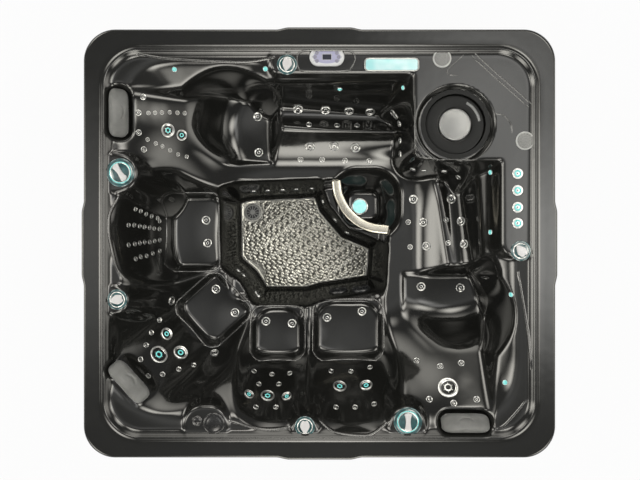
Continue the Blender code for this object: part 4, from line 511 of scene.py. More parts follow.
def build_shell(material):
    """The whole face of the shell as one sheet, with the lip turned down and in.

    The lip's rings have a height and a normal of their own, and each side's middle stands out by 10 mm.
    """
    x, y, ring, ring_x, ring_y = shell_grid(284, 257, 25)
    z = tub_height(x, y)
    normal = tub_normal(x, y)
    lip = ((-0.070, 0.0, -1.0), (-0.070, 0.0, -1.0), (-0.066, 1.0, 0.0), (-0.012, 1.0, 0.0),
           (-0.0066, 0.92, 0.38), (-0.0027, 0.62, 0.78), (-0.0006, 0.30, 0.95))
    corner_x, corner_y = 0.945, 0.845
    out_x = np.sign(x) * np.maximum(np.abs(x) - corner_x, 0.0)
    out_y = np.sign(y) * np.maximum(np.abs(y) - corner_y, 0.0)
    length = np.maximum(np.hypot(out_x, out_y), 1e-6)
    out_x, out_y = out_x / length, out_y / length
    for number, (height, outward, upward) in enumerate(lip):
        here = ring == number
        z[here] = height
        rolled = np.stack((out_x * outward, out_y * outward, np.full_like(x, upward)), axis=-1)
        rolled /= np.maximum(np.linalg.norm(rolled, axis=-1, keepdims=True), 1e-6)
        normal[here] = rolled[here]
    fade = 0.010 * np.clip(1.0 - (ring - len(lip)) / 3.0, 0.0, 1.0)
    x = x + np.sign(x) * smooth_step((0.2 - np.abs(y)) / 0.06) * fade * (ring_x <= ring_y)
    y = y + np.sign(y) * smooth_step((0.2 - np.abs(x)) / 0.06) * fade * (ring_y <= ring_x)
    points = np.stack((x, y, z + RIM_HEIGHT), axis=-1)
    mesh = grid_mesh("tub_shell", points, normal, from_filter(x, y) < 0.158)
    link_piece("tub_shell", mesh, [material], "tub", ["shell"])


acrylic = acrylic_finish()
build_shell(acrylic)


# Creases: the crisp bends of the mould at the edges of the pans, backs, channels and deck.
# They belong to the same acrylic sheet, stand three to six millimetres proud and catch the light; their
# lighter, shinier finish is a painted highlight.
def smooth_route(points, gap):
    """A route through points as a Catmull-Rom curve, with a stop every gap metres."""
    p = np.array(points, dtype=float)
    closed = np.allclose(p[0], p[-1])
    p = np.concatenate((p[-2:-1], p, p[1:2])) if closed else np.concatenate((p[:1], p, p[-1:]))
    t = np.linspace(0.0, 1.0, 24, endpoint=False)[:, None]
    spans = []
    for a, b, c, d in zip(p[:-3], p[1:-2], p[2:-1], p[3:]):
        spans.append(0.5 * (2 * b + (c - a) * t + (2 * a - 5 * b + 4 * c - d) * t ** 2
                            + (3 * b - a - 3 * c + d) * t ** 3))
    curve = np.concatenate(spans + [p[-2:-1]])
    run = np.concatenate(([0.0], np.cumsum(np.linalg.norm(np.diff(curve, axis=0), axis=1))))
    stops = np.linspace(0.0, run[-1], max(int(run[-1] / gap), 2) + 1)
    return np.stack([np.interp(stops, run, curve[:, k]) for k in range(curve.shape[1])], axis=1), closed


def oval(half_x, half_y, radius, steps=8):
    """Outline of a rounded rectangle: a quarter circle about the middle of each corner."""
    angle = np.radians(90.0 * (np.arange(4)[:, None] + np.arange(steps + 1) / steps))
    side_x, side_y = np.array((1, -1, -1, 1))[:, None], np.array((1, 1, -1, -1))[:, None]
    x = side_x * (half_x - radius) + radius * np.cos(angle)
    y = side_y * (half_y - radius) + radius * np.sin(angle)
    return np.stack((x, y), axis=-1).reshape(-1, 2)


def pan_route(seat, grow, radius):
    """A closed route round a seat's pan, a little outside its edge."""
    half_u, half_v = seat["half"]
    outline = oval(half_u + grow, half_v + grow, radius, 4)
    u, v = np.concatenate((outline, outline[:1])).T
    c, s = math.cos(math.radians(seat["heading"])), math.sin(math.radians(seat["heading"]))
    return np.stack((seat["centre"][0] + u * c - v * s, seat["centre"][1] + u * s + v * c), axis=1)


def edge_finish():
    """The same acrylic on the crease beads with a painted highlight: lighter in colour and more reflective
    than the sheet, with random wear in tone and roughness.
    """
    material, tree, shader = new_material("acrylic_edge", 0.16, Specular_IOR_Level=1.0)
    edge_wear_and_shine = surface_texture(tree, "Noise", {"Scale": 24.0, "Detail": 4.0})
    # Painted highlight: both ends of this ramp are lighter than the sheet's black, so the beads show as
    # light lines; the noise adds random wear.
    colour = ramp_between(tree, edge_wear_and_shine.outputs["Fac"], (0.012, 0.012, 0.011), (0.034, 0.033, 0.030), 0.3, 0.7)
    tree.links.new(colour, shader.inputs["Base Color"])
    tree.links.new(value_between(tree, edge_wear_and_shine.outputs["Fac"], 0.10, 0.26), shader.inputs["Roughness"])
    return material


acrylic_edge = edge_finish()


def smooth_mesh(name, points, faces):
    """A smooth mesh from points and a list of the corner numbers of its faces."""
    mesh = bpy.data.meshes.new(name)
    mesh.from_pydata(points.tolist(), [], faces)
    mesh.update()
    mesh.shade_smooth()
    return mesh


def add_creases(name, routes, half, rise):
    """Rounded beads along routes on the shell's face, joined in one piece that rides the tub."""
    section = ((-1.0, -0.6), (-0.6, 0.6), (0.0, 1.0), (0.6, 0.6), (1.0, -0.6))
    points, faces, count = [], [], 0
    for route in routes:
        path, closed = smooth_route(route, 0.008)
        along = np.gradient(path, axis=0)
        along /= np.maximum(np.linalg.norm(along, axis=1, keepdims=True), 1e-9)
        if closed:
            along[0] = along[-1] = (along[0] + along[-1]) / np.linalg.norm(along[0] + along[-1])
        ends = np.minimum(np.arange(len(path)), np.arange(len(path))[::-1])
        fade = np.ones(len(path)) if closed else smooth_step(ends / 6.0)
        rows = []
        for across, up in section:
            x = path[:, 0] - along[:, 1] * half * across
            y = path[:, 1] + along[:, 0] * half * across
            lift = rise * (up * fade if up > 0.0 else up)
            rows.append(np.stack((x, y, RIM_HEIGHT + tub_height(x, y) + lift), axis=1))
        points.append(np.stack(rows, axis=1).reshape(-1, 3))
        index = count + np.arange(len(path) * len(section)).reshape(-1, len(section))
        faces.append(grid_quads(index))
        count += index.size
    mesh = smooth_mesh(name, np.concatenate(points), np.concatenate(faces).tolist())
    link_piece(name, mesh, [acrylic_edge], "tub")


SWEEP = np.radians(np.arange(182.0, 271.0, 11.0))
add_creases("filter_deck_lines", [
    [(0.703, 0.866), (0.795, 0.781), (0.884, 0.702), (0.966, 0.629)],
    [(0.716, 0.879), (0.808, 0.794), (0.898, 0.715), (0.980, 0.642)],
    [(0.666, 0.871), (0.630, 0.838), (0.602, 0.812), (0.588, 0.792), (0.605, 0.779), (0.637, 0.775)],
    [(0.799, 0.600), (0.839, 0.596), (0.869, 0.574), (0.886, 0.545), (0.888, 0.510)],
    [(0.440, 0.680), (0.440, 0.560), (0.440, 0.450), (0.446, 0.412), (0.470, 0.396), (0.560, 0.393),
     (0.700, 0.393)],
] + [FILTER_PLACE + r * np.stack((np.cos(SWEEP), np.sin(SWEEP)), axis=1) for r in (0.186, 0.201, 0.216)],
    0.0042, 0.0030)
add_creases("panel_surround", [
    [(-0.104, 0.850), (-0.100, 0.872), (-0.071, 0.885), (0.034, 0.887), (0.136, 0.885), (0.160, 0.872),
     (0.164, 0.850), (0.150, 0.815), (0.127, 0.798), (0.020, 0.795), (-0.078, 0.797), (-0.098, 0.815),
     (-0.104, 0.850)],
], 0.0050, 0.0034)
add_creases("pan_lines", [pan_route(seat, 0.004, 0.062) for seat in SEATS], 0.0070, 0.0040)
add_creases("crest_lines", [
    [(-0.931, 0.215), (-0.965, 0.150), (-0.972, 0.099), (-0.968, 0.016), (-0.944, -0.099), (-0.907, -0.164)],
    [(-0.420, -0.822), (-0.272, -0.859), (-0.151, -0.854), (-0.134, -0.840)],
    [(-0.006, -0.813), (0.063, -0.868), (0.188, -0.882), (0.253, -0.873), (0.325, -0.822)],
    [(-0.847, 0.873), (-0.685, 0.854), (-0.369, 0.840), (-0.205, 0.862)],
    [(0.963, -0.721), (0.861, -0.836), (0.812, -0.862)],
    [(0.977, -0.583), (0.963, -0.399), (0.920, -0.130)],
], 0.0085, 0.0055)
add_creases("back_lines", [
    [(-0.650, 0.711), (-0.560, 0.752), (-0.384, 0.768), (-0.250, 0.750), (-0.186, 0.711)],
    [(0.760, -0.128), (0.838, -0.276), (0.820, -0.420), (0.784, -0.525)],
    [(0.331, 0.310), (0.345, 0.260), (0.353, 0.217)],
], 0.0085, 0.0060)


# Footwell floor: a hammered plate pattern, so that wet feet hold.
# Its domes are 16 mm apart and stop at a smooth margin along the floor's edge and round the drain.
DRAIN_PLACE = (-0.3872, 0.177, 0.0703)


def dome_heights(x, y, pitch):
    """Heights of rounded domes on a loose triangular grid, each a smooth cap of the nearest centre."""
    rows = np.round(y / (pitch * 0.866))
    best = np.zeros_like(x)
    for step in (-1, 0, 1):
        row = rows + step
        shift = np.where(row % 2 == 0, 0.0, 0.5)
        for side in (-1, 0, 1):
            column = np.round(x / pitch - shift) + side
            wander_x = 0.30 * np.sin(row * 12.9898 + column * 78.233)
            wander_y = 0.30 * np.sin(row * 39.346 + column * 11.135)
            size = 0.80 + 0.20 * np.sin(row * 7.31 + column * 3.77)
            away = np.hypot(x - (column + shift + wander_x) * pitch, y - (row * 0.866 + wander_y) * pitch)
            best = np.maximum(best, size * np.clip(1.0 - (away / (0.60 * pitch)) ** 2, 0.0, 1.0))
    return best


def plate_finish():
    """Pearl grey metallic acrylic with a fine shimmer, with painted shade between the domes and a painted
    dark colour for glossy rays.
    """
    material, tree, shader = new_material("footwell_plate", 0.22, 0.85)
    cloud = surface_texture(tree, "Noise", {"Scale": 9.0, "Detail": 4.0})
    flake = surface_texture(tree, "Voronoi", {"Scale": 700.0})
    dome = add_node(tree, "ShaderNodeAttribute", attribute_name="dome")
    shine = ramp_between(tree, cloud.outputs["Fac"], (0.27, 0.265, 0.235), (0.44, 0.43, 0.39), 0.3, 0.7)
    shaded = add_node(tree, "ShaderNodeVectorMath", operation="SCALE")
    tree.links.new(shine, shaded.inputs[0])
    # Painted shade: the colour falls to 22 % between the domes, where the hollows would lie in shade.
    tree.links.new(value_between(tree, dome.outputs["Fac"], 0.22, 1.0, 0.0, 0.5), shaded.inputs["Scale"])
    # Painted reflection: glossy rays see the plate near black, so the steep walls round the footwell reflect
    # it dark instead of bright.
    path = add_node(tree, "ShaderNodeLightPath")
    dim = mixed_colour(tree, path.outputs["Is Glossy Ray"], shaded.outputs[0], (0.05, 0.05, 0.045, 1.0))
    tree.links.new(dim, shader.inputs["Base Color"])
    tree.links.new(value_between(tree, flake.outputs["Distance"], 0.18, 0.34), shader.inputs["Roughness"])
    return material


def build_footwell_plate(pitch=0.0032, margin=0.014):
    """The hammered plate, a grid clipped to the floor's outline with its edge points drawn onto it."""
    x, y = np.meshgrid(np.arange(-0.47, 0.30, pitch), np.arange(-0.275, 0.28, pitch), indexing="ij")
    for _ in range(2):
        away = outline_distance(x, y, FLOOR) + margin
        push_x = (outline_distance(x + 0.001, y, FLOOR) + margin - away) / 0.001
        push_y = (outline_distance(x, y + 0.001, FLOOR) + margin - away) / 0.001
        over = np.clip(away, 0.0, 1.5 * pitch) * (away < 1.5 * pitch)
        x, y = x - push_x * over, y - push_y * over
    away = outline_distance(x, y, FLOOR) + margin
    drain = np.hypot(x - DRAIN_PLACE[0], y - DRAIN_PLACE[1])
    flat = smooth_step((-away - 0.006) / 0.010) * smooth_step((drain - 0.056) / 0.010)
    flat = flat * smooth_step((np.hypot(x + 0.40, y + 0.19) - 0.075) / 0.020)
    domes = dome_heights(x, y, 0.0155)
    border = 0.0012 * smooth_step(-away / 0.004) + 0.0030 * np.exp(-((away + 0.0055) / 0.0032) ** 2)
    points = np.stack((x, y, DRAIN_PLACE[2] + border + 0.0052 * flat * domes), axis=-1)
    outside = (away >= 0.0015) | (drain <= 0.045)
    quads = grid_quads(np.arange(x.size).reshape(x.shape))
    used, quads = np.unique(quads[~outside.reshape(-1)[quads].any(axis=1)], return_inverse=True)
    mesh = smooth_mesh("footwell_plate", points.reshape(-1, 3)[used], quads.reshape(-1, 4).tolist())
    # Painted shade mask: 1 on the dome tops and the flat margin, lower between the domes; the plate's
    # material darkens its colour by it.
    shine = (1.0 - flat * (1.0 - domes)).reshape(-1)[used]
    mesh.attributes.new("dome", "FLOAT", "POINT").data.foreach_set("value", shine)
    link_piece("footwell_plate", mesh, [plate_finish()], "tub")


build_footwell_plate()


# Jets: a snap-in body with a chrome ring, a dark dished face and a nozzle in its eye, sealed in the shell.
# The five large ones turn in their bodies to set the flow, and a few along the backs are lit from inside.
def skin_group():
    """Node group: a colour with a slow blotch, a roughness that follows it, and a fine grain normal."""
    group = bpy.data.node_groups.new("moulded_skin", "ShaderNodeTree")
    for name in ("Colour", "Roughness", "Spread", "Scale", "Grain", "Depth"):
        kind = "NodeSocketColor" if name == "Colour" else "NodeSocketFloat"
        group.interface.new_socket(name, in_out="INPUT", socket_type=kind)
    for name, kind in (("Colour", "NodeSocketColor"), ("Roughness", "NodeSocketFloat"),
                       ("Normal", "NodeSocketVector")):
        group.interface.new_socket(name, in_out="OUTPUT", socket_type=kind)
    source = add_node(group, "NodeGroupInput")
    target = add_node(group, "NodeGroupOutput")
    place = add_node(group, "ShaderNodeTexCoord")
    blotch = add_node(group, "ShaderNodeTexNoise", {"Detail": 5.0, "Roughness": 0.6})
    grain = add_node(group, "ShaderNodeTexNoise", {"Detail": 3.0})
    for noise, scale in ((blotch, "Scale"), (grain, "Grain")):
        group.links.new(place.outputs["Object"], noise.inputs["Vector"])
        group.links.new(source.outputs[scale], noise.inputs["Scale"])
    swing = add_node(group, "ShaderNodeMath", {1: 0.5}, operation="SUBTRACT")
    group.links.new(blotch.outputs["Fac"], swing.inputs[0])
    amount = add_node(group, "ShaderNodeMath", {2: 1.0}, operation="MULTIPLY_ADD")
    group.links.new(swing.outputs[0], amount.inputs[0])
    group.links.new(source.outputs["Spread"], amount.inputs[1])
    shade = add_node(group, "ShaderNodeVectorMath", operation="SCALE")
    group.links.new(source.outputs["Colour"], shade.inputs[0])
    group.links.new(amount.outputs[0], shade.inputs["Scale"])
    group.links.new(shade.outputs[0], target.inputs["Colour"])
    rough = add_node(group, "ShaderNodeMath", operation="MULTIPLY", use_clamp=True)
    group.links.new(source.outputs["Roughness"], rough.inputs[0])
    group.links.new(amount.outputs[0], rough.inputs[1])
    group.links.new(rough.outputs[0], target.inputs["Roughness"])
    bump = add_node(group, "ShaderNodeBump", {"Strength": 1.0})
    group.links.new(grain.outputs["Fac"], bump.inputs["Height"])
    group.links.new(source.outputs["Depth"], bump.inputs["Distance"])
    group.links.new(bump.outputs["Normal"], target.inputs["Normal"])
    return group


moulded_skin = skin_group()


def skin_material(name, colour, roughness, scale=12.0, grain=300.0, depth=0.0002, spread=0.4, metallic=0.0,
                  **sockets):
    """A moulded, cast or plated finish: the skin group with its own colour, scale and grain."""
    material, tree, shader = new_material(name, roughness, metallic, **sockets)
    skin = add_node(tree, "ShaderNodeGroup", node_tree=moulded_skin)
    skin.inputs["Colour"].default_value = (*colour, 1.0)
    for key, value in (("Roughness", roughness), ("Spread", spread), ("Scale", scale), ("Grain", grain),
                       ("Depth", depth)):
        skin.inputs[key].default_value = value
    tree.links.new(skin.outputs["Colour"], shader.inputs["Base Color"])
    tree.links.new(skin.outputs["Roughness"], shader.inputs["Roughness"])
    tree.links.new(skin.outputs["Normal"], shader.inputs["Normal"])
    return material


def glow_over_dark(tree, shader, colour):
    """Lets a shader glow in a colour, over a base that is the same colour at 15 %."""
    dark = add_node(tree, "ShaderNodeVectorMath", {"Scale": 0.15}, operation="SCALE")
    tree.links.new(colour, dark.inputs[0])
    tree.links.new(dark.outputs[0], shader.inputs["Base Color"])
    tree.links.new(colour, shader.inputs["Emission Color"])


def lit_material(name, dim, bright, strength, scale):
    """A lens that glows unevenly: bright spots of the lamp behind a frosted moulding."""
    material, tree, shader = new_material(name, 0.25)
    noise = surface_texture(tree, "Noise", {"Scale": scale, "Detail": 3.0})
    glow_over_dark(tree, shader, ramp_between(tree, noise.outputs["Fac"], dim, bright, 0.25, 0.75))
    path = add_node(tree, "ShaderNodeLightPath")
    level = value_between(tree, path.outputs["Is Camera Ray"], strength * 0.05, strength)
    tree.links.new(level, shader.inputs["Emission Strength"])
    return material


def ring_faces(index):
    """Corner numbers of the faces between each ring of points and the next ring."""
    after = np.roll(index, -1, axis=1)
    return np.stack((index[:-1], after[:-1], after[1:], index[1:]), axis=-1).reshape(-1, 4).tolist()


def turned(profile, sides, finishes=None):
    """A profile turned about Z: each radius times the cosine and sine of even angles, at its height.

    A radius of zero is one point on the axis, where the faces are triangles.
    """
    radius, height = np.array(profile).T
    angle = math.tau * np.arange(sides) / sides
    rings = np.stack((np.outer(radius, np.cos(angle)), np.outer(radius, np.sin(angle)),
                      np.repeat(height[:, None], sides, axis=1)), axis=-1)
    own = (radius > 0.0)[:, None] | (np.arange(sides) == 0)
    faces = [list(dict.fromkeys(face)) for face in ring_faces(np.cumsum(own).reshape(own.shape) - 1)]
    kinds = np.repeat(finishes or [0] * (len(profile) - 1), sides).tolist()
    return rings[own], faces, kinds


def stacked(outlines, heights, closed=True):
    """A skin over outlines at heights, with caps below and above if closed."""
    count = len(outlines[0])
    points = np.concatenate([np.column_stack((outline, np.full(count, height)))
                             for outline, height in zip(outlines, heights)])
    index = np.arange(len(points)).reshape(-1, count)
    faces = ring_faces(index)
    if closed:
        faces += [index[0, ::-1].tolist(), index[-1].tolist()]
    return points, faces, [0] * len(faces)


def prism(outline, levels):
    """A solid from an outline, each level a scale and a height."""
    outline = np.array(outline)
    return stacked([outline * scale for scale, _ in levels], [height for _, height in levels])


class Batch:
    """Collects shapes, each set at a place square to a normal, into one mesh."""

    def __init__(self):
        """Starts with nothing in it."""
        self.points, self.faces, self.kinds, self.count = [], [], [], 0

    def add(self, shape, place=(0.0, 0.0, 0.0), normal=(0.0, 0.0, 1.0), spin=0.0):
        """Adds one shape."""
        points, faces, kinds = shape
        turn = Vector((0.0, 0.0, 1.0)).rotation_difference(Vector(normal)).to_matrix()
        turn = np.array(turn @ Matrix.Rotation(spin, 3, "Z"))
        self.points.append(points @ turn.T + np.array(place))
        self.faces += [[corner + self.count for corner in face] for face in faces]
        self.kinds += kinds
        self.count += len(points)

    def build(self, name, materials, body="tub", node=None, sharp=38.0):
        """Makes the piece, smooth but for bends sharper than an angle."""
        mesh = smooth_mesh(name, np.concatenate(self.points), self.faces)
        mesh.polygons.foreach_set("material_index", self.kinds)
        mesh.set_sharp_from_angle(angle=math.radians(sharp))
        return link_piece(name, mesh, materials, body, [node] if node else ())


def jet_shape(radius, lit=False):
    """A jet's ring, dished face, grooved eye and nozzle, in chrome, black and a glowing eye if lit."""
    r, h = radius * (1.15 if radius > 0.0115 else 1.05), min(0.006, radius * 0.25)
    shares = (
        (1.00, None), (1.00, 0.35), (0.96, 0.8), (0.88, 1.0), (0.78, 0.75), (0.74, 0.1), (0.62, -0.2),
        (0.56, -0.9), (0.40, -1.0), (0.36, 0.3), (0.24, 0.4), (0.20, -0.4), (0.0, -0.5))
    profile = [(r * out, -0.010 if up is None else h * up) for out, up in shares]
    finishes = (0, 0, 0, 0, 1, 0, 1, 1) + ((2, 2, 2, 2) if lit else (0, 0, 1, 1))
    return turned(profile, 28 if radius > 0.018 else 18, finishes)


def on_shell(x, y, radius=0.0):
    """Place and normal of the shell's face, lifted where the face is hollow under a fitting's edge."""
    normal = tub_normal(x, y, max(radius * 0.7, 0.004))
    angle = np.linspace(0.0, math.tau, 16, endpoint=False)
    side = np.cross(normal, (0.0, 1.0, 0.0))
    side /= np.linalg.norm(side)
    ahead = np.cross(normal, side)
    middle = np.array((x, y, RIM_HEIGHT + tub_height(x, y)))
    edge = middle + radius * (np.cos(angle)[:, None] * side + np.sin(angle)[:, None] * ahead)
    proud = (RIM_HEIGHT + tub_height(edge[:, 0], edge[:, 1]) - edge[:, 2]) * normal[2]
    return middle + normal * max(float(np.sort(proud)[-4]), 0.0), normal


WALL_JET_EDGE = 0.014


def on_wall(x, y, depth, longest=0.004):
    """The nearest place of a steep wall at a depth below the rim, found by walking along its slope."""
    for _ in range(40):
        height, normal = tub_height(x, y), tub_normal(x, y)
        slope_x, slope_y = -normal[0] / normal[2], -normal[1] / normal[2]
        step = (-depth - height) / max(slope_x ** 2 + slope_y ** 2, 0.5)
        step = max(min(step, longest), -longest)
        x, y = x + slope_x * step, y + slope_y * step
    return on_shell(x, y, WALL_JET_EDGE)


chrome = skin_material("chrome", (0.56, 0.56, 0.55), 0.30, 30.0, 900.0, 0.00005, 0.3, 0.9)
jet_black = skin_material("jet_black", (0.018, 0.018, 0.020), 0.28, 20.0, 600.0, 0.0001)
jet_glow = lit_material("jet_glow", (0.06, 0.48, 0.46), (0.34, 0.90, 0.84), 0.95, 90.0)

JETS_MM = {
    "top_lounger": {
        22: ((-108, 674), (30, 672), (149, 669), (256, 666), (-49, 492), (74, 492), (184, 487)),
        13: ((-53, 593), (88, 591), (189, 593), (-98, 431), (13, 431), (131, 426), (256, 423), (-855, 617),
             (-854, 523), (-831, 444), (-833, 692)),
        10: ((-814, 620), (-786, 624), (-757, 628), (-724, 633), (-691, 634), (-659, 636), (-817, 493),
             (-784, 478), (-757, 467), (-726, 452), (-694, 435), (-658, 428)),
        20: ((-320, 656), (-315, 470)),
    },
    "left_seat": {
        11: ((-887, 165), (-872, 157), (-856, 144), (-839, 135), (-820, 127), (-814, 112), (-913, 87),
             (-896, 88), (-879, 84), (-864, 80), (-848, 78), (-833, 74), (-816, 72), (-911, -8), (-893, -3),
             (-878, 1), (-863, 6), (-847, 6), (-831, 11), (-814, 16), (-884, -75), (-870, -66),
             (-852, -62), (-833, -51), (-811, -40)),
        20: ((-595, 120), (-587, 0)),
    },
    "corner_seat": {
        20: ((-543, -241), (-443, -364), (-754, -293), (-537, -562)),
        12: ((-805, -386), (-833, -442), (-849, -498), (-864, -560), (-820, -635), (-762, -636),
             (-694, -621), (-628, -609)),
    },
    "near_seat": {
        20: ((-281, -410), (-144, -421)),
        12: ((-330, -644), (-241, -663), (-150, -657), (-300, -697), (-202, -701), (-303, -780),
             (-209, -785)),
    },
    "far_seat": {
        20: ((39, -390), (222, -358)),
        12: ((58, -649), (160, -652), (257, -632), (79, -785), (171, -787), (262, -771)),
    },
    "right_lounger": {
        20: ((485, 227), (534, 108), (548, -15), (671, 224), (714, 111), (725, -4), (527, -226),
             (730, -232)),
        12: ((459, 109), (469, -20), (640, 117), (647, 1)),
        14: ((479, -580), (589, -600), (690, -583), (519, -737), (634, -754), (742, -737)),
    },
}
LIT_JETS_MM = {
    "top_lounger": ((24, -674, 529),),
    "corner_seat": ((28, -771, -457), (33, -699, -550)),
    "near_seat": ((22, -341, -729), (22, -159, -744)),
    "far_seat": ((28, 231, -704),),
}
WALL_JETS_MM = {
    "top_lounger": ((14, 389, 633, 230), (14, 418, 664, 230), (14, 418, 593, 230), (14, 418, 509, 250),
                    (14, 389, 442, 250)),
    "right_lounger": ((13, 460, 364, 220), (13, 514, 367, 220), (13, 614, 376, 220), (13, 698, 376, 220)),
    "footwell": ((16, -365, 293, 640), (16, -288, 315, 640), (16, -206, 320, 640), (16, -129, 331, 640),
                 (16, -42, 326, 640), (16, -463, -169, 600), (16, -425, -190, 600), (16, -365, -288, 600),
                 (16, -337, -290, 600), (16, 35, 239, 700), (16, 95, 136, 700), (16, 161, 65, 700)),
}
for seat_name in (*JETS_MM, "footwell"):
    batch = Batch()
    for size, places in JETS_MM.get(seat_name, {}).items():
        for px, py in places:
            batch.add(jet_shape(size / 1000.0), *on_shell(px / 1000.0, py / 1000.0, size / 1000.0))
    for size, px, py in LIT_JETS_MM.get(seat_name, ()):
        batch.add(jet_shape(size / 1000.0, True), *on_shell(px / 1000.0, py / 1000.0, size / 1000.0))
    for size, px, py, depth in WALL_JETS_MM.get(seat_name, ()):
        batch.add(jet_shape(size / 1000.0), *on_wall(px / 1000.0, py / 1000.0, depth / 1000.0))
    batch.build("jets_" + seat_name, [chrome, jet_black, jet_glow])

RIB = prism([(-0.0012, -0.004), (0.0012, -0.004), (0.0012, 0.004), (-0.0012, 0.004)],
            ((1.0, -0.004), (1.0, 0.0005), (0.7, 0.0012)))
for jet_name, place, axis, radius, lit in (
        ("corner_back_jet", (-0.7918, -0.5479, 0.6707), (0.5748, 0.4732, 0.6675), 0.040, True),
        ("lounger_back_jet", (0.6149, -0.6888, 0.7739), (-0.0296, 0.5508, 0.8341), 0.044, False),
        ("top_lounger_jet", (-0.7324, 0.5460, 0.7389), (0.5433, -0.0659, 0.8370), 0.030, True),
        ("near_seat_jet", (-0.2530, -0.7428, 0.7085), (0.1505, 0.8274, 0.5410), 0.030, True),
        ("far_seat_jet", (0.1001, -0.7088, 0.6510), (0.1151, 0.8187, 0.5626), 0.030, True)):
    batch = Batch()
    batch.add(jet_shape(radius, lit), place, axis)
    level = Vector((0.0, 0.0, 1.0)).rotation_difference(Vector(axis)).to_matrix()
    for k in range(6):
        out = level @ Vector((math.sin(math.tau * k / 6), -math.cos(math.tau * k / 6), 0.0))
        batch.add(RIB, Vector(place) + out * radius * 0.48, axis, spin=math.tau * k / 6)
    batch.build(jet_name + "_face", [chrome, jet_black, jet_glow], jet_name, jet_name)


# Water spouts, deck lights and caps: four chrome spouts in a row that throw lit streams,
# small lamps pressed into the deck, and two black caps over the holes of spare fittings.
SPOUT = turned((
    (0.0250, -0.002), (0.0250, 0.003), (0.0225, 0.0055), (0.0175, 0.0060), (0.0160, 0.0045),
    (0.0130, 0.0010), (0.0085, 0.0005), (0.0080, 0.0035), (0.0035, 0.0038), (0.0030, 0.0010),
    (0.0, 0.0010)), 28,
    (0, 0, 0, 0, 2, 2, 2, 0, 0, 1))
batch = Batch()
for y in (0.323, 0.245, 0.167, 0.094):
    batch.add(SPOUT, *on_shell(0.915, y))
batch.build("water_spouts", [chrome, jet_black, jet_glow])
DECK_LIGHT = turned((
    (0.0125, -0.001), (0.0125, 0.0015), (0.0115, 0.0028), (0.0105, 0.0022), (0.0095, 0.0032),
    (0.0050, 0.0044), (0.0, 0.0048)), 20, (0, 0, 0, 2, 2, 2))
batch = Batch()
for x, y in ((-0.676, 0.812), (-0.251, 0.812), (0.097, 0.739), (0.397, 0.739), (0.809, 0.336),
             (0.809, 0.053), (0.892, -0.238), (0.865, -0.648)):
    batch.add(DECK_LIGHT, *on_shell(x, y))
batch.build("deck_lights", [chrome, jet_black, jet_glow])
batch = Batch()
for x, y, r in ((-0.565, -0.817, 0.025), (-0.487, -0.831, 0.050)):
    batch.add(turned((
        (r, -0.002), (r, 0.002), (r * 0.95, 0.0045), (r * 0.80, 0.0060), (r * 0.72, 0.0050),
        (r * 0.66, 0.0062), (r * 0.3, 0.0078), (0.0, 0.0080)), 36), *on_shell(x, y))
batch.build("deck_caps", [skin_material("cap_black", (0.012, 0.012, 0.012), 0.22, 25.0, 500.0, 0.0001)])


# Control panel: an oval white overlay with a lavender field, six rubber buttons and a dark window.
# It is a sealed box dropped into the deck's raised surround.
PANEL_PLACE = (0.0341, 0.858, RIM_HEIGHT)
PANEL_HALF = (0.072, 0.034)


def panel_finish():
    """White gloss at the rim and lavender inside, set by the distance from the panel's middle."""
    material, tree, shader = new_material("panel_overlay", 0.22, Coat_Weight=0.5, Coat_Roughness=0.05)
    place = add_node(tree, "ShaderNodeTexCoord")
    shift = add_node(tree, "ShaderNodeMapping", {
        "Location": (-PANEL_PLACE[0] / PANEL_HALF[0], -PANEL_PLACE[1] / PANEL_HALF[1], 0.0),
        "Scale": (1 / PANEL_HALF[0], 1 / PANEL_HALF[1], 0.0)})
    tree.links.new(place.outputs["Object"], shift.inputs["Vector"])
    away = add_node(tree, "ShaderNodeVectorMath", operation="LENGTH")
    tree.links.new(shift.outputs["Vector"], away.inputs[0])
    field = ramp_between(tree, away.outputs["Value"], (0.50, 0.49, 0.66), (0.85, 0.85, 0.85), 0.86, 0.90)
    speck = surface_texture(tree, "Noise", {"Scale": 400.0, "Detail": 2.0})
    worn = mixed_colour(tree, 0.06, field, speck.outputs["Color"], blend_type="MULTIPLY")
    tree.links.new(worn, shader.inputs["Base Color"])
    return material


def use_on_node(material, *nodes):
    """Gives CAD nodes that stay in view a material."""
    for name in nodes:
        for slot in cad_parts[name].material_slots:
            slot.material = material


def ring_band(outer, inner, levels):
    """A frame between two outlines of as many points, each level a share of the way in and a height."""
    outer, inner = np.array(outer), np.array(inner)
    return stacked([outer + (inner - outer) * share for share, _ in levels],
                   [height for _, height in levels], closed=False)


use_on_node(panel_finish(), "control_panel")
use_on_node(skin_material("display_glass", (0.010, 0.012, 0.030), 0.06, 15.0, 200.0, 0.00002, 0.5,
                          Coat_Weight=1.0), "display_window")
use_on_node(skin_material("button_rubber", (0.30, 0.29, 0.36), 0.45, 60.0, 900.0, 0.0001, 0.3),
            *("button_%d" % k for k in range(1, 7)))
panel_white = skin_material("panel_rim", (0.72, 0.72, 0.70), 0.25, 20.0, 500.0, 0.0001, 0.15)
batch = Batch()
batch.add(ring_band(oval(0.0795, 0.0405, 0.0400), oval(0.0735, 0.0345, 0.0340),
                    ((0.0, 0.0), (0.10, 0.0018), (0.45, 0.0028), (0.80, 0.0020), (1.0, 0.0))), PANEL_PLACE)
batch.add(ring_band(oval(0.0225, 0.0145, 0.0040), oval(0.0202, 0.0122, 0.0020),
                    ((0.0, 0.0), (0.2, 0.0009), (0.7, 0.0009), (1.0, -0.0008))), PANEL_PLACE)
batch.build("panel_bezels", [panel_white], sharp=50.0)
batch = Batch()
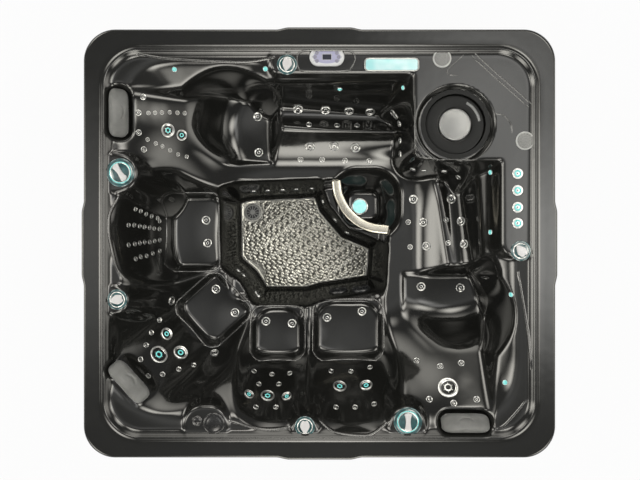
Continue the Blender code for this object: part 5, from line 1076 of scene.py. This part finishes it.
for bx, by, turn_deg in ((-0.0119, 0.8396, 30.0), (-0.0204, 0.858, 90.0), (-0.0119, 0.8764, -30.0),
                         (0.0801, 0.8396, -30.0), (0.0886, 0.858, 90.0), (0.0801, 0.8764, 30.0)):
    batch.add(prism(oval(0.0036, 0.0008, 0.0006, 3), ((1.0, -0.0002), (1.0, 0.0003))),
              (bx + math.copysign(0.0125, bx - PANEL_PLACE[0]), by, RIM_HEIGHT), spin=math.radians(turn_deg))
batch.build("panel_marks", [skin_material("mark_ink", (0.12, 0.12, 0.20), 0.4, 50.0, 700.0, 0.00005, 0.1)])


# Waterfall: a long lit slot in the deck that pours a sheet of water over the edge.
# Its dark frame is clamped in the deck, and a frosted bar with lamps behind covers the slot.
def waterfall_glow():
    """Pale cyan light that changes along the bar."""
    material, tree, shader = new_material("waterfall_glow", 0.3, Emission_Strength=0.85)
    wave = surface_texture(tree, "Noise", {"Scale": 14.0, "Detail": 2.0, "Roughness": 0.4})
    colour = ramp_between(tree, wave.outputs["Fac"], (0.42, 0.80, 0.78), (0.78, 0.96, 0.94), 0.30, 0.70)
    glow_over_dark(tree, shader, colour)
    return material


use_on_node(skin_material("spout_dark", (0.020, 0.022, 0.024), 0.20, 18.0, 400.0, 0.0001), "waterfall_spout")
batch = Batch()
batch.add(prism(oval(0.1190, 0.0245, 0.0100), ((1.0, 0.0), (1.0, 0.0016), (0.995, 0.0024), (0.985, 0.0028))),
          (0.3322, 0.823, RIM_HEIGHT - 0.0005))
batch.build("waterfall_bar", [waterfall_glow()])
batch = Batch()
for half_x, half_y in ((0.1265, 0.0310), (0.1235, 0.0282)):
    batch.add(ring_band(oval(half_x, half_y, 0.0200), oval(half_x - 0.0028, half_y - 0.0028, 0.0172),
                        ((0.0, 0.0), (0.2, 0.0014), (0.5, 0.0020), (0.8, 0.0014), (1.0, 0.0))),
              (0.3322, 0.823, RIM_HEIGHT))
batch.build("waterfall_frame", [chrome], sharp=50.0)


# Speakers: round sealed drivers behind pierced grey grilles, pressed into the deck.
# The grille is a shallow dome of moulded plastic in a plain ring.
def grille_finish():
    """Light grey plastic pierced by rows of small holes."""
    material, tree, shader = new_material("speaker_grille", 0.45)
    holes = surface_texture(tree, "Voronoi", {"Scale": 210.0, "Randomness": 0.25}, voronoi_dimensions="2D")
    colour = ramp_between(tree, holes.outputs["Distance"],
                          (0.05, 0.05, 0.05), (0.36, 0.36, 0.34), 0.28, 0.42)
    tree.links.new(colour, shader.inputs["Base Color"])
    add_bump(tree, shader, holes.outputs["Distance"], 0.0006)
    return material


FITTING_HEIGHT = 0.8884
speaker_grey = skin_material("speaker_ring", (0.60, 0.60, 0.57), 0.35, 25.0, 500.0, 0.0001)
grille = grille_finish()
for number, (x, y) in enumerate(((0.5654, 0.854), (0.9482, 0.474)), 1):
    batch = Batch()
    batch.add(turned((
        (0.0430, -0.001), (0.0430, 0.0035), (0.0415, 0.0060), (0.0385, 0.0070), (0.0365, 0.0062),
        (0.0360, 0.0040), (0.0340, 0.0042), (0.0300, 0.0052), (0.0200, 0.0064), (0.0090, 0.0069),
        (0.0, 0.0070)), 48, (0, 0, 0, 0, 0, 1, 1, 1, 1, 1)), (x, y, FITTING_HEIGHT))
    batch.build("speaker_%d_grille" % number, [speaker_grey, grille], node="speaker_%d" % number)


# Valves: two large diverters send the pump's water to one seat or another, four small ones mix air or shut
# off the waterfall. Each has a clear teal base clamped in the deck and a white grip that turns on it.
def clear_base_finish():
    """Dark teal acrylic that looks deeper in some places."""
    material, tree, shader = new_material("valve_base", 0.08, Coat_Weight=1.0, Coat_Roughness=0.04)
    depth = surface_texture(tree, "Noise", {"Scale": 28.0, "Detail": 3.0})
    colour = ramp_between(tree, depth.outputs["Fac"],
                          (0.006, 0.030, 0.032), (0.040, 0.150, 0.155), 0.30, 0.72)
    tree.links.new(colour, shader.inputs["Base Color"])
    return material


def s_bar(length, end, waist, lean):
    """Outline of a grip, wider towards its ends by a power of the distance, round there, on a sine curve."""
    t = np.linspace(-1.0, 1.0, 17)
    half = waist / 2 + (end - waist) / 2 * np.abs(t) ** 2.2
    half = half * np.sqrt(np.clip(1.0 - ((np.abs(t) - 0.72) / 0.28).clip(0.0, 1.0) ** 2, 0.0, 1.0))
    half = np.maximum(half, 0.001)
    middle = lean * np.sin(math.pi / 2 * t)
    right = np.stack((middle + half, t * length / 2), axis=1)
    left = np.stack((middle - half, t * length / 2), axis=1)[::-1]
    return np.concatenate((right, left[1:-1]))


def heart_grip(length, head, stem):
    """Outline of a small lever: an oval notched by a bell curve at its head, which narrows into a stem."""
    angle = math.tau * np.arange(48) / 48
    c, s = np.cos(angle), np.sin(angle)
    notch = np.where(c > 0.0, 0.24 * np.exp(-(s / 0.32) ** 2), 0.0)
    width = np.where(c > 0.0, head, stem + (head - stem) * (1.0 + np.minimum(c, 0.0)) ** 0.9)
    return np.stack((width / 2 * s, length / 2 * (c - notch)), axis=1)[::-1]


grip_white = skin_material("grip_white", (0.78, 0.76, 0.74), 0.28, 30.0, 600.0, 0.0001, 0.12,
                           Coat_Weight=0.3)
valve_base = clear_base_finish()
DIVERTER_GRIP = 0.8963
VALVE_GRIP = 0.8948
GRIP_LEVELS = ((0.95, 0.0005), (1.0, 0.0015), (1.0, 0.0060), (0.97, 0.0080), (0.90, 0.0092), (0.70, 0.0096))
for number, (x, y, heading, lean) in enumerate((
        (-0.9196, 0.327, 45.0, 0.006), (0.4081, -0.822, 0.0, 0.0)), 1):
    batch = Batch()
    batch.add(turned((
        (0.0660, -0.001), (0.0660, 0.0020), (0.0645, 0.0038), (0.0610, 0.0046), (0.0560, 0.0040),
        (0.0520, 0.0030), (0.0500, 0.0046), (0.0490, 0.0056), (0.0468, 0.0058), (0.0460, 0.0048),
        (0.0455, 0.0070), (0.0430, 0.0078), (0.0200, 0.0080), (0.0, 0.0080)), 56,
        (1, 1, 1, 1, 1, 1, 2, 2, 2, 0, 0, 1, 1)), (x, y, FITTING_HEIGHT))
    batch.build("diverter_%d_base" % number, [chrome, valve_base, jet_glow],
                node="diverter_%d_body" % number)
    batch = Batch()
    batch.add(prism(s_bar(0.086, 0.042, 0.022, lean), GRIP_LEVELS), (x, y, DIVERTER_GRIP),
              spin=math.radians(heading))
    handle = "diverter_%d_handle" % number
    batch.build("diverter_%d_grip" % number, [grip_white], handle, handle, 32.0)
for number, (x, y, heading) in enumerate((
        (-0.1496, 0.826, -10.0), (-0.9339, -0.259, -75.0), (-0.0671, -0.844, 0.0),
        (0.9295, -0.034, -140.0)), 1):
    batch = Batch()
    batch.add(turned((
        (0.0470, -0.001), (0.0470, 0.0018), (0.0455, 0.0032), (0.0420, 0.0040), (0.0360, 0.0034),
        (0.0345, 0.0052), (0.0325, 0.0058), (0.0150, 0.0060), (0.0, 0.0060)), 48,
        (1, 1, 1, 1, 0, 0, 1, 1)), (x, y, FITTING_HEIGHT))
    batch.build("valve_%d_base" % number, [chrome, valve_base], node="valve_%d_body" % number)
    batch = Batch()
    batch.add(prism(heart_grip(0.066, 0.044, 0.018), GRIP_LEVELS), (x, y, VALVE_GRIP),
              spin=math.radians(heading))
    handle = "valve_%d_handle" % number
    batch.build("valve_%d_grip" % number, [grip_white], handle, handle, 32.0)


# Skimmer: a canister hangs in the filter block, with a pleated cartridge, a ring that holds it down
# and a floating disc that draws the surface water in. The ring lifts by its finger slot.
def round_filter(radius, angle, height):
    """Places at radii and angles round the filter's middle, at heights."""
    x, y = FILTER_PLACE[0] + radius * np.cos(angle), FILTER_PLACE[1] + radius * np.sin(angle)
    return np.stack(np.broadcast_arrays(x, y, height), axis=-1)


def build_skimmer_ring(steps=180, slot=(4, 31), face_height=0.8443):
    """A profile turned round the filter's middle, with a slot left open in it and walls to the slot."""
    profile = (
        (0.0780, -0.0100), (0.0780, -0.0018), (0.0795, -0.0005), (0.0830, 0.0), (0.1090, 0.0),
        (0.1250, 0.0), (0.1320, 0.0), (0.1365, -0.0006), (0.1380, -0.0020), (0.1380, -0.0100),
        (0.1250, -0.0100), (0.1090, -0.0100))
    radius, height = np.array(profile).T[:, :, None]
    points = round_filter(radius, math.tau * np.arange(steps) / steps, face_height + height)
    index = np.arange(len(profile) * steps).reshape(-1, steps)
    after = np.roll(index, -1, axis=1)
    cells = np.stack((index, np.roll(index, -1, axis=0), np.roll(after, -1, axis=0), after), axis=-1)
    kept = np.ones(index.shape, dtype=bool)
    kept[np.ix_((4, 10), range(*slot))] = False
    inner, outer, under, behind = (index[level, slot[0]:slot[1] + 1] for level in (4, 5, 10, 11))
    walls = np.concatenate((
        np.stack((inner[1:], inner[:-1], behind[:-1], behind[1:]), axis=1),
        np.stack((outer[:-1], outer[1:], under[1:], under[:-1]), axis=1),
        [(inner[0], outer[0], under[0], behind[0]), (outer[-1], inner[-1], behind[-1], under[-1])]))
    mesh = smooth_mesh("skimmer_cover", points.reshape(-1, 3), np.concatenate((cells[kept], walls)).tolist())
    mesh.set_sharp_from_angle(angle=math.radians(35.0))
    ring_black = skin_material("skimmer_black", (0.013, 0.013, 0.012), 0.22, 16.0, 500.0, 0.0001,
                               Specular_IOR_Level=0.15)
    link_piece("skimmer_cover", mesh, [ring_black], "filter", ["skimmer_ring"])
    use_on_node(ring_black, "skimmer_canister")
    rows = ((0.1050, 0.8338), (0.1066, 0.8356), (0.1170, 0.8362), (0.1274, 0.8356), (0.1290, 0.8338))
    radius, height = np.array(rows).T[:, :, None]
    liner = round_filter(radius, np.radians(np.linspace(4.0, 66.0, 32)), height)
    slot_grey = skin_material("slot_grey", (0.42, 0.42, 0.40), 0.35, 18.0, 400.0, 0.0001)
    link_piece("slot_liner", grid_mesh("slot_liner", liner), [slot_grey], "filter")


def pleat_finish():
    """White filter fabric, darker where it has caught dirt."""
    material, tree, shader = new_material("pleats", 0.9)
    weave = surface_texture(tree, "Noise", {"Scale": 500.0, "Detail": 3.0})
    soil = surface_texture(tree, "Noise", {"Scale": 8.0, "Detail": 4.0})
    colour = ramp_between(tree, soil.outputs["Fac"], (0.50, 0.50, 0.47), (0.78, 0.79, 0.80))
    tree.links.new(colour, shader.inputs["Base Color"])
    add_bump(tree, shader, weave.outputs["Fac"], 0.0003)
    return material


build_skimmer_ring()
use_on_node(pleat_finish(), "filter_cartridge")
disc_silver = skin_material("disc_silver", (0.31, 0.31, 0.30), 0.42, 9.0, 1200.0, 0.00006, 0.6, 0.25)
batch = Batch()
batch.add(turned((
    (0.0, 0.8275), (0.0700, 0.8275), (0.0736, 0.8300), (0.0740, 0.8485), (0.0728, 0.8503),
    (0.0700, 0.8518), (0.0640, 0.8536), (0.0560, 0.8554), (0.0440, 0.8574), (0.0300, 0.8590),
    (0.0150, 0.8598), (0.0, 0.8600)), 64), (*FILTER_PLACE, 0.0))
batch.build("float_cap", [disc_silver], "float_disc", "float_disc")


# Pillows: soft foam headrests with a moulded skin, pinned into nests in the backs of three seats.
# Each has a crowned face, sides that draw in, and a short arched dimple in its lower half.
def foam_finish():
    """Grey foam skin with fine pores and a soft sheen."""
    material, tree, shader = new_material("pillow_skin", 0.55, Sheen_Weight=0.25, Sheen_Roughness=0.4)
    pores = surface_texture(tree, "Voronoi", {"Scale": 420.0})
    patch = surface_texture(tree, "Noise", {"Scale": 14.0, "Detail": 5.0})
    colour = ramp_between(tree, patch.outputs["Fac"], (0.135, 0.135, 0.127), (0.225, 0.225, 0.212), 0.3, 0.7)
    tree.links.new(colour, shader.inputs["Base Color"])
    add_bump(tree, shader, pores.outputs["Distance"], 0.00025)
    return material


def pillow_form(rings=31, sides=72, top=0.0315, bottom=-0.0118):
    """The pillow before it is blown up: a squared oval with drawn-in sides and a crown, as one skin."""
    tilt = np.linspace(0.0, math.pi, rings + 2)[1:-1, None]
    angle = np.linspace(0.0, math.tau, sides, endpoint=False)[None, :]
    c, s = np.cos(angle), np.sin(angle)
    square = (np.abs(c) ** 4 + np.abs(s) ** 4) ** -0.25
    rho = np.sin(tilt)
    across = (0.0500 - 0.004 * c ** 4) * c * square * rho
    along = 0.1130 * s * square * rho
    crown = np.sqrt(np.maximum(1.0 - rho ** 3, 0.0)) * np.where(tilt < math.pi / 2, top, bottom)
    points = np.stack(np.broadcast_arrays(across, along, crown), axis=-1).reshape(-1, 3)
    index = np.arange(rings * sides).reshape(rings, sides)
    after = np.roll(index, -1, axis=1)
    faces = np.stack((index[:-1], index[1:], after[1:], after[:-1]), axis=-1).reshape(-1, 4).tolist()
    faces += [(index.size, *pair) for pair in zip(index[0].tolist(), after[0].tolist())]
    faces += [(index.size + 1, *pair) for pair in zip(after[-1].tolist(), index[-1].tolist())]
    points = np.concatenate((points, ((0.0, 0.0, top), (0.0, 0.0, bottom))))
    return in_scene("pillow_form", smooth_mesh("pillow_form", points, faces))


def mesh_points(mesh):
    """The places of a mesh's points."""
    points = np.empty(len(mesh.vertices) * 3, dtype=np.float32)
    mesh.vertices.foreach_get("co", points)
    return points.reshape(-1, 3)


def blown_points(form, frames=20):
    """Points of the form after some frames of cloth under pressure, with no gravity."""
    cloth = form.modifiers.new("cloth", "CLOTH")
    cloth.settings.quality = 5
    cloth.settings.use_pressure = True
    cloth.settings.uniform_pressure_force = 4.0
    cloth.settings.effector_weights.gravity = 0.0
    cloth.point_cache.frame_start = 1
    cloth.point_cache.frame_end = frames
    for step in range(1, frames + 1):
        bpy.context.scene.frame_set(step)
    points = mesh_points(form.evaluated_get(bpy.context.evaluated_depsgraph_get()).to_mesh())
    form.modifiers.remove(cloth)
    bpy.context.scene.frame_set(1)
    return points


def dimple_depth(points, deepest=0.0038, half_width=0.0042, bow=0.012, reach=0.030):
    """Depth of the dimple: a bell curve across an arc that bows as a parabola, faded at its ends."""
    arc = points[:, 0] + 0.014 - bow * (points[:, 1] / reach) ** 2
    ends = smooth_step((0.036 - np.abs(points[:, 1])) / 0.014)
    return deepest * np.exp(-(arc / half_width) ** 2) * ends * (points[:, 2] > 0.004)


def build_pillow(pillow, material, farthest=0.004):
    """A pillow blown up by a short cloth simulation, then dimpled and set in its nest."""
    form = pillow_form()
    remesh = form.modifiers.new("voxels", "REMESH")
    remesh.mode = "VOXEL"
    remesh.voxel_size = 0.004
    bpy.context.view_layer.update()
    skin = bpy.data.meshes.new_from_object(form.evaluated_get(bpy.context.evaluated_depsgraph_get()))
    form.modifiers.remove(remesh)
    form.data = skin
    rest = mesh_points(skin)
    moved = blown_points(form)
    shift = moved - rest
    size = np.linalg.norm(shift, axis=1, keepdims=True)
    shift *= np.minimum(1.0, farthest / np.maximum(size, 1e-9))
    moved = rest + shift * smooth_step((rest[:, 2:3] + 0.002) / 0.012)
    moved[:, 2] -= dimple_depth(moved)
    heading, tilt = math.radians(pillow["heading"]), math.radians(-38.0)
    turn = Matrix.Rotation(heading, 3, "Z") @ Matrix.Rotation(tilt, 3, "Y")
    moved = moved @ np.array(turn).T + np.array((*pillow["centre"], RIM_HEIGHT - pillow["depth"]))
    skin.vertices.foreach_set("co", moved.astype(np.float32).reshape(-1))
    skin.update()
    bpy.data.objects.remove(form)
    skin.shade_smooth()
    name = pillow["name"]
    piece = link_piece(name + "_pad", skin, [material], name, [name])
    soft = piece.modifiers.new("soft", "SUBSURF")
    soft.levels = 1
    soft.render_levels = 1


foam = foam_finish()
for pillow in PILLOWS:
    build_pillow(pillow, foam)


# Grab rail: a flattened stainless tube across the footwell's corner, its ends let into the shell.
# It is brushed round the tube and bolted from behind.
def brushed_finish():
    """Stainless steel with brush marks."""
    material, tree, shader = new_material("rail_steel", 0.25, 1.0, Anisotropic=0.4)
    marks = surface_texture(tree, "Noise", {"Scale": 260.0, "Detail": 4.0})
    cloud = surface_texture(tree, "Noise", {"Scale": 12.0, "Detail": 3.0})
    colour = ramp_between(tree, cloud.outputs["Fac"], (0.34, 0.32, 0.27), (0.56, 0.53, 0.46))
    tree.links.new(colour, shader.inputs["Base Color"])
    tree.links.new(value_between(tree, marks.outputs["Fac"], 0.16, 0.36), shader.inputs["Roughness"])
    return material


def signed_power(value, power):
    """A value's size to a power, with the value's sign."""
    return np.sign(value) * np.abs(value) ** power


def build_rail(half_wide=0.0255, half_high=0.0108, height=0.45):
    """The rail as a flattened oval, from powers of the cosine and sine, swept along its route."""
    path, _ = smooth_route([(0.0880, 0.326), (0.0990, 0.256), (0.1364, 0.180), (0.1980, 0.118),
                            (0.2706, 0.082), (0.3586, 0.070)], 0.006)
    along = np.gradient(path, axis=0)
    along /= np.linalg.norm(along, axis=1, keepdims=True)
    across = np.stack((-along[:, 1], along[:, 0]), axis=1)
    angle = np.linspace(0.0, math.tau, 33)
    wide = -half_wide * signed_power(np.cos(angle), 0.7)
    points = np.empty((len(path), len(angle), 3))
    points[:, :, :2] = path[:, None, :] + across[:, None, :] * wide[None, :, None]
    points[:, :, 2] = height + half_high * signed_power(np.sin(angle), 0.8)
    mesh = grid_mesh("rail_tube", points)
    link_piece("rail_tube", mesh, [brushed_finish()], "tub", ["grab_rail"])


build_rail()


# Footwell fittings: a lamp in its bowl, a floor drain with a slotted cover, and two suction covers
# whose domes keep hair and fingers away from the pump's intake. All are screwed through the shell.
def build_footwell_fittings():
    """Lamp, drain and suction covers as turned shapes with ribs."""
    batch = Batch()
    batch.add(turned((
        (0.0460, -0.001), (0.0460, 0.0040), (0.0445, 0.0072), (0.0415, 0.0080), (0.0395, 0.0066),
        (0.0380, 0.0060), (0.0340, 0.0084), (0.0240, 0.0096), (0.0100, 0.0100), (0.0, 0.0100)), 48,
        (0, 0, 0, 0, 0, 1, 1, 1, 1)), (0.2211, 0.201, 0.2605))
    lamp_glow = lit_material("lamp_glow", (0.24, 0.80, 0.76), (0.60, 0.98, 0.94), 1.0, 40.0)
    batch.build("footwell_lamp", [chrome, lamp_glow], node="footwell_light")
    batch = Batch()
    batch.add(turned((
        (0.0450, -0.001), (0.0450, 0.0040), (0.0430, 0.0070), (0.0400, 0.0080), (0.0370, 0.0076),
        (0.0360, 0.0052), (0.0140, 0.0052), (0.0130, 0.0076), (0.0, 0.0080)), 48,
        (0, 0, 0, 0, 0, 1, 0, 0)), DRAIN_PLACE)
    rib = prism([(0.0125, -0.0016), (0.0375, -0.0016), (0.0375, 0.0016), (0.0125, 0.0016)],
                ((1.0, 0.0045), (1.0, 0.0074), (0.99, 0.0078)))
    for k in range(12):
        batch.add(rib, DRAIN_PLACE, spin=math.tau * k / 12)
    drain_grey = skin_material("drain_grey", (0.42, 0.42, 0.40), 0.30, 20.0, 500.0, 0.0001)
    batch.build("drain_grate", [drain_grey, jet_black], node="floor_drain")
    cover_black = skin_material("suction_black", (0.030, 0.031, 0.032), 0.30, 20.0, 500.0, 0.0001)
    blade = prism([(0.0135, -0.0011), (0.0430, -0.0016), (0.0430, 0.0016), (0.0135, 0.0011)],
                  ((1.0, 0.0100), (1.0, 0.0158), (0.985, 0.0164)))
    for number, (place, normal) in enumerate((
            ((0.1012, -0.2617, 0.3213), (-0.1440, 0.9818, 0.1240)),
            ((0.2211, -0.2497, 0.3655), (-0.1546, 0.9790, 0.1332))), 1):
        batch = Batch()
        batch.add(turned((
            (0.0520, -0.001), (0.0520, 0.0030), (0.0490, 0.0075), (0.0430, 0.0105), (0.0300, 0.0130),
            (0.0140, 0.0140), (0.0120, 0.0172), (0.0, 0.0178)), 40, (0, 0, 0, 1, 1, 0, 0)), place, normal)
        for k in range(16):
            batch.add(blade, place, normal, spin=math.tau * k / 16)
        batch.build("suction_grille_%d" % number, [cover_black, jet_black], node="suction_cover_%d" % number)


build_footwell_fittings()


# Cabinet: panels of grained plastic between rounded corner posts, on a moulded base pan.
# A sawn timber frame under the rim carries the shell's edge. One panel pulls off for service.
def board_finish(name, dark, light, scale):
    """Boards with grain that runs along them and a chalky, weathered face."""
    material, tree, shader = new_material(name, 0.55)
    place = add_node(tree, "ShaderNodeTexCoord")
    stretch = add_node(tree, "ShaderNodeMapping", {"Scale": scale})
    tree.links.new(place.outputs["Object"], stretch.inputs["Vector"])
    grain = add_node(tree, "ShaderNodeTexNoise", {"Scale": 2.5, "Detail": 8.0, "Roughness": 0.65})
    tree.links.new(stretch.outputs["Vector"], grain.inputs["Vector"])
    colour = ramp_between(tree, grain.outputs["Fac"], dark, light, 0.32, 0.70)
    tree.links.new(colour, shader.inputs["Base Color"])
    tree.links.new(value_between(tree, grain.outputs["Fac"], 0.45, 0.70), shader.inputs["Roughness"])
    add_bump(tree, shader, grain.outputs["Fac"], 0.0007)
    return material


use_on_node(board_finish("cabinet_boards", (0.045, 0.047, 0.050), (0.105, 0.107, 0.110), (3.0, 3.0, 60.0)),
            "cabinet_front", "cabinet_left", "cabinet_right", "access_panel")
use_on_node(skin_material("post_plastic", (0.070, 0.072, 0.075), 0.50, 10.0, 220.0, 0.0005),
            *("corner_post_%d" % k for k in range(1, 5)))
use_on_node(skin_material("base_plastic", (0.020, 0.020, 0.021), 0.55, 8.0, 260.0, 0.0006), "base_pan")
use_on_node(board_finish("sawn_timber", (0.33, 0.22, 0.13), (0.56, 0.42, 0.27), (4.0, 4.0, 90.0)),
            "top_frame")


# Equipment behind the access panel: pumps, heater, blower and control box stand on the base pan,
# joined by a suction pipe, and the drain spout comes out through the left panel.
use_on_node(skin_material("motor_paint", (0.022, 0.024, 0.028), 0.38, 15.0, 350.0, 0.0004), "jet_pump_motor")
use_on_node(skin_material("pump_plastic", (0.024, 0.024, 0.024), 0.45, 12.0, 300.0, 0.0003),
            "jet_pump_wet_end", "circulation_pump", "air_blower")
use_on_node(skin_material("box_grey", (0.33, 0.33, 0.32), 0.45, 9.0, 260.0, 0.0003), "control_box")
use_on_node(skin_material("heater_steel", (0.60, 0.60, 0.58), 0.28, 25.0, 900.0, 0.0001, 0.4, 1.0),
            "heater_tube")
use_on_node(skin_material("pipe_white", (0.72, 0.72, 0.69), 0.40, 14.0, 240.0, 0.0002, 0.15), "suction_pipe")
use_on_node(skin_material("drain_plastic", (0.30, 0.30, 0.29), 0.45, 18.0, 300.0, 0.0002), "drain_spout")
use_on_node(skin_material("cap_plastic", (0.020, 0.020, 0.020), 0.40, 18.0, 300.0, 0.0002), "drain_cap")


# Studio: a pale floor that the camera sees as nearly white but for the tub's shadow, a plain world,
# bright patches that only reflections show, and three soft lamps.
def build_floor():
    """The floor, which shines evenly for the camera and in reflections, and takes shadow otherwise."""
    mesh = bpy.data.meshes.new("studio_floor")
    mesh.from_pydata([(-9, -9, 0), (9, -9, 0), (9, 9, 0), (-9, 9, 0)], [], [(0, 1, 2, 3)])
    floor = in_scene("studio_floor", mesh)
    material, tree, shader = new_material("studio_floor", 0.9)
    shader.inputs["Base Color"].default_value = (0.85, 0.85, 0.85, 1.0)
    glow = add_node(tree, "ShaderNodeEmission", {"Strength": 1.0})
    path = add_node(tree, "ShaderNodeLightPath")
    shown = path.outputs["Is Camera Ray"]
    for kind in ("Is Glossy Ray", "Is Transmission Ray"):
        either = add_node(tree, "ShaderNodeMath", operation="MAXIMUM")
        tree.links.new(shown, either.inputs[0])
        tree.links.new(path.outputs[kind], either.inputs[1])
        shown = either.outputs[0]
    mix = add_node(tree, "ShaderNodeMixShader")
    tree.links.new(value_between(tree, shown, 0.0, 0.93), mix.inputs[0])
    tree.links.new(shader.outputs[0], mix.inputs[1])
    tree.links.new(glow.outputs[0], mix.inputs[2])
    tree.links.new(mix.outputs[0], tree.nodes["Material Output"].inputs["Surface"])
    mesh.materials.append(material)


def build_world():
    """Plain grey light, white for the camera, and round patches by direction for glossy rays alone."""
    world = bpy.data.worlds.new("studio")
    bpy.context.scene.world = world
    world.use_nodes = True
    tree = world.node_tree
    place = add_node(tree, "ShaderNodeTexCoord")
    warm, pale = (1.0, 0.97, 0.88), (1.0, 0.99, 0.95)
    total = None
    for direction, inner, outer, strength, colour in (
            ((0.0, 0.0, 1.0), 8.0, 9.0, 0.24, (1.0, 1.0, 1.0)),
            ((0.04, 0.0, 1.0), 0.0, 0.50, 0.60, (1.0, 1.0, 0.97)),
            ((0.37, -0.02, 0.93), 0.0, 0.22, 5.0, pale), ((0.23, 0.19, 0.95), 0.0, 0.24, 2.6, pale),
            ((-0.33, 0.0, 0.94), 0.0, 0.26, 1.0, pale),
            ((0.0, -0.62, 0.78), 0.03, 0.25, 11.0, warm), ((-0.60, 0.0, 0.80), 0.03, 0.25, 10.0, warm),
            ((0.60, 0.02, 0.80), 0.03, 0.28, 10.0, warm), ((0.0, 0.60, 0.80), 0.03, 0.28, 10.0, warm),
            ((0.45, 0.45, 0.77), 0.03, 0.28, 10.0, warm),
            ((0.0, -0.93, 0.36), 0.05, 0.34, 9.0, warm), ((-0.93, 0.0, 0.36), 0.05, 0.34, 9.0, warm),
            ((0.95, 0.05, 0.31), 0.05, 0.45, 3.5, warm), ((0.0, 0.95, 0.30), 0.05, 0.45, 3.5, warm),
            ((0.60, -0.68, 0.40), 0.05, 0.36, 8.0, warm), ((-0.60, -0.68, 0.40), 0.05, 0.36, 8.0, warm),
            ((-0.60, 0.68, 0.40), 0.05, 0.36, 8.0, warm)):
        away = add_node(tree, "ShaderNodeVectorMath", {1: Vector(direction).normalized()},
                        operation="DISTANCE")
        tree.links.new(place.outputs["Generated"], away.inputs[0])
        level = add_node(tree, "ShaderNodeMapRange", {1: inner, 2: outer, 3: strength, 4: 0.0},
                         interpolation_type="SMOOTHSTEP")
        tree.links.new(away.outputs["Value"], level.inputs["Value"])
        tint = add_node(tree, "ShaderNodeVectorMath", {0: colour}, operation="SCALE")
        tree.links.new(level.outputs["Result"], tint.inputs["Scale"])
        if total is not None:
            both = add_node(tree, "ShaderNodeVectorMath", operation="ADD")
            tree.links.new(total.outputs[0], both.inputs[0])
            tree.links.new(tint.outputs[0], both.inputs[1])
            tint = both
        total = tint
    path = add_node(tree, "ShaderNodeLightPath")
    plain = mixed_colour(tree, path.outputs["Is Glossy Ray"], (0.70, 0.70, 0.69, 1.0), total.outputs[0])
    seen = mixed_colour(tree, path.outputs["Is Camera Ray"], plain, (1.0, 1.0, 1.0, 1.0))
    tree.links.new(seen, tree.nodes["Background"].inputs["Color"])
    tree.nodes["Background"].inputs["Strength"].default_value = 1.0


def build_lamps():
    """Three square lamps that face the middle of the tub and don't show in its gloss."""
    for name, place in (("lamp_right", (2.6, 1.2, 3.6)), ("lamp_left", (-3.0, 0.4, 3.0)),
                        ("lamp_near", (0.4, -3.2, 3.0))):
        light = bpy.data.lights.new(name, "AREA")
        light.size = 1.6
        light.energy = 16
        light.color = (1.0, 0.97, 0.92)
        lamp = in_scene(name, light)
        lamp.location = place
        lamp.visible_glossy = False
        lamp.rotation_mode = "QUATERNION"
        lamp.rotation_quaternion = (Vector((0.0, 0.0, 0.5)) - Vector(place)).to_track_quat("-Z", "Y")


build_floor()
build_world()
build_lamps()
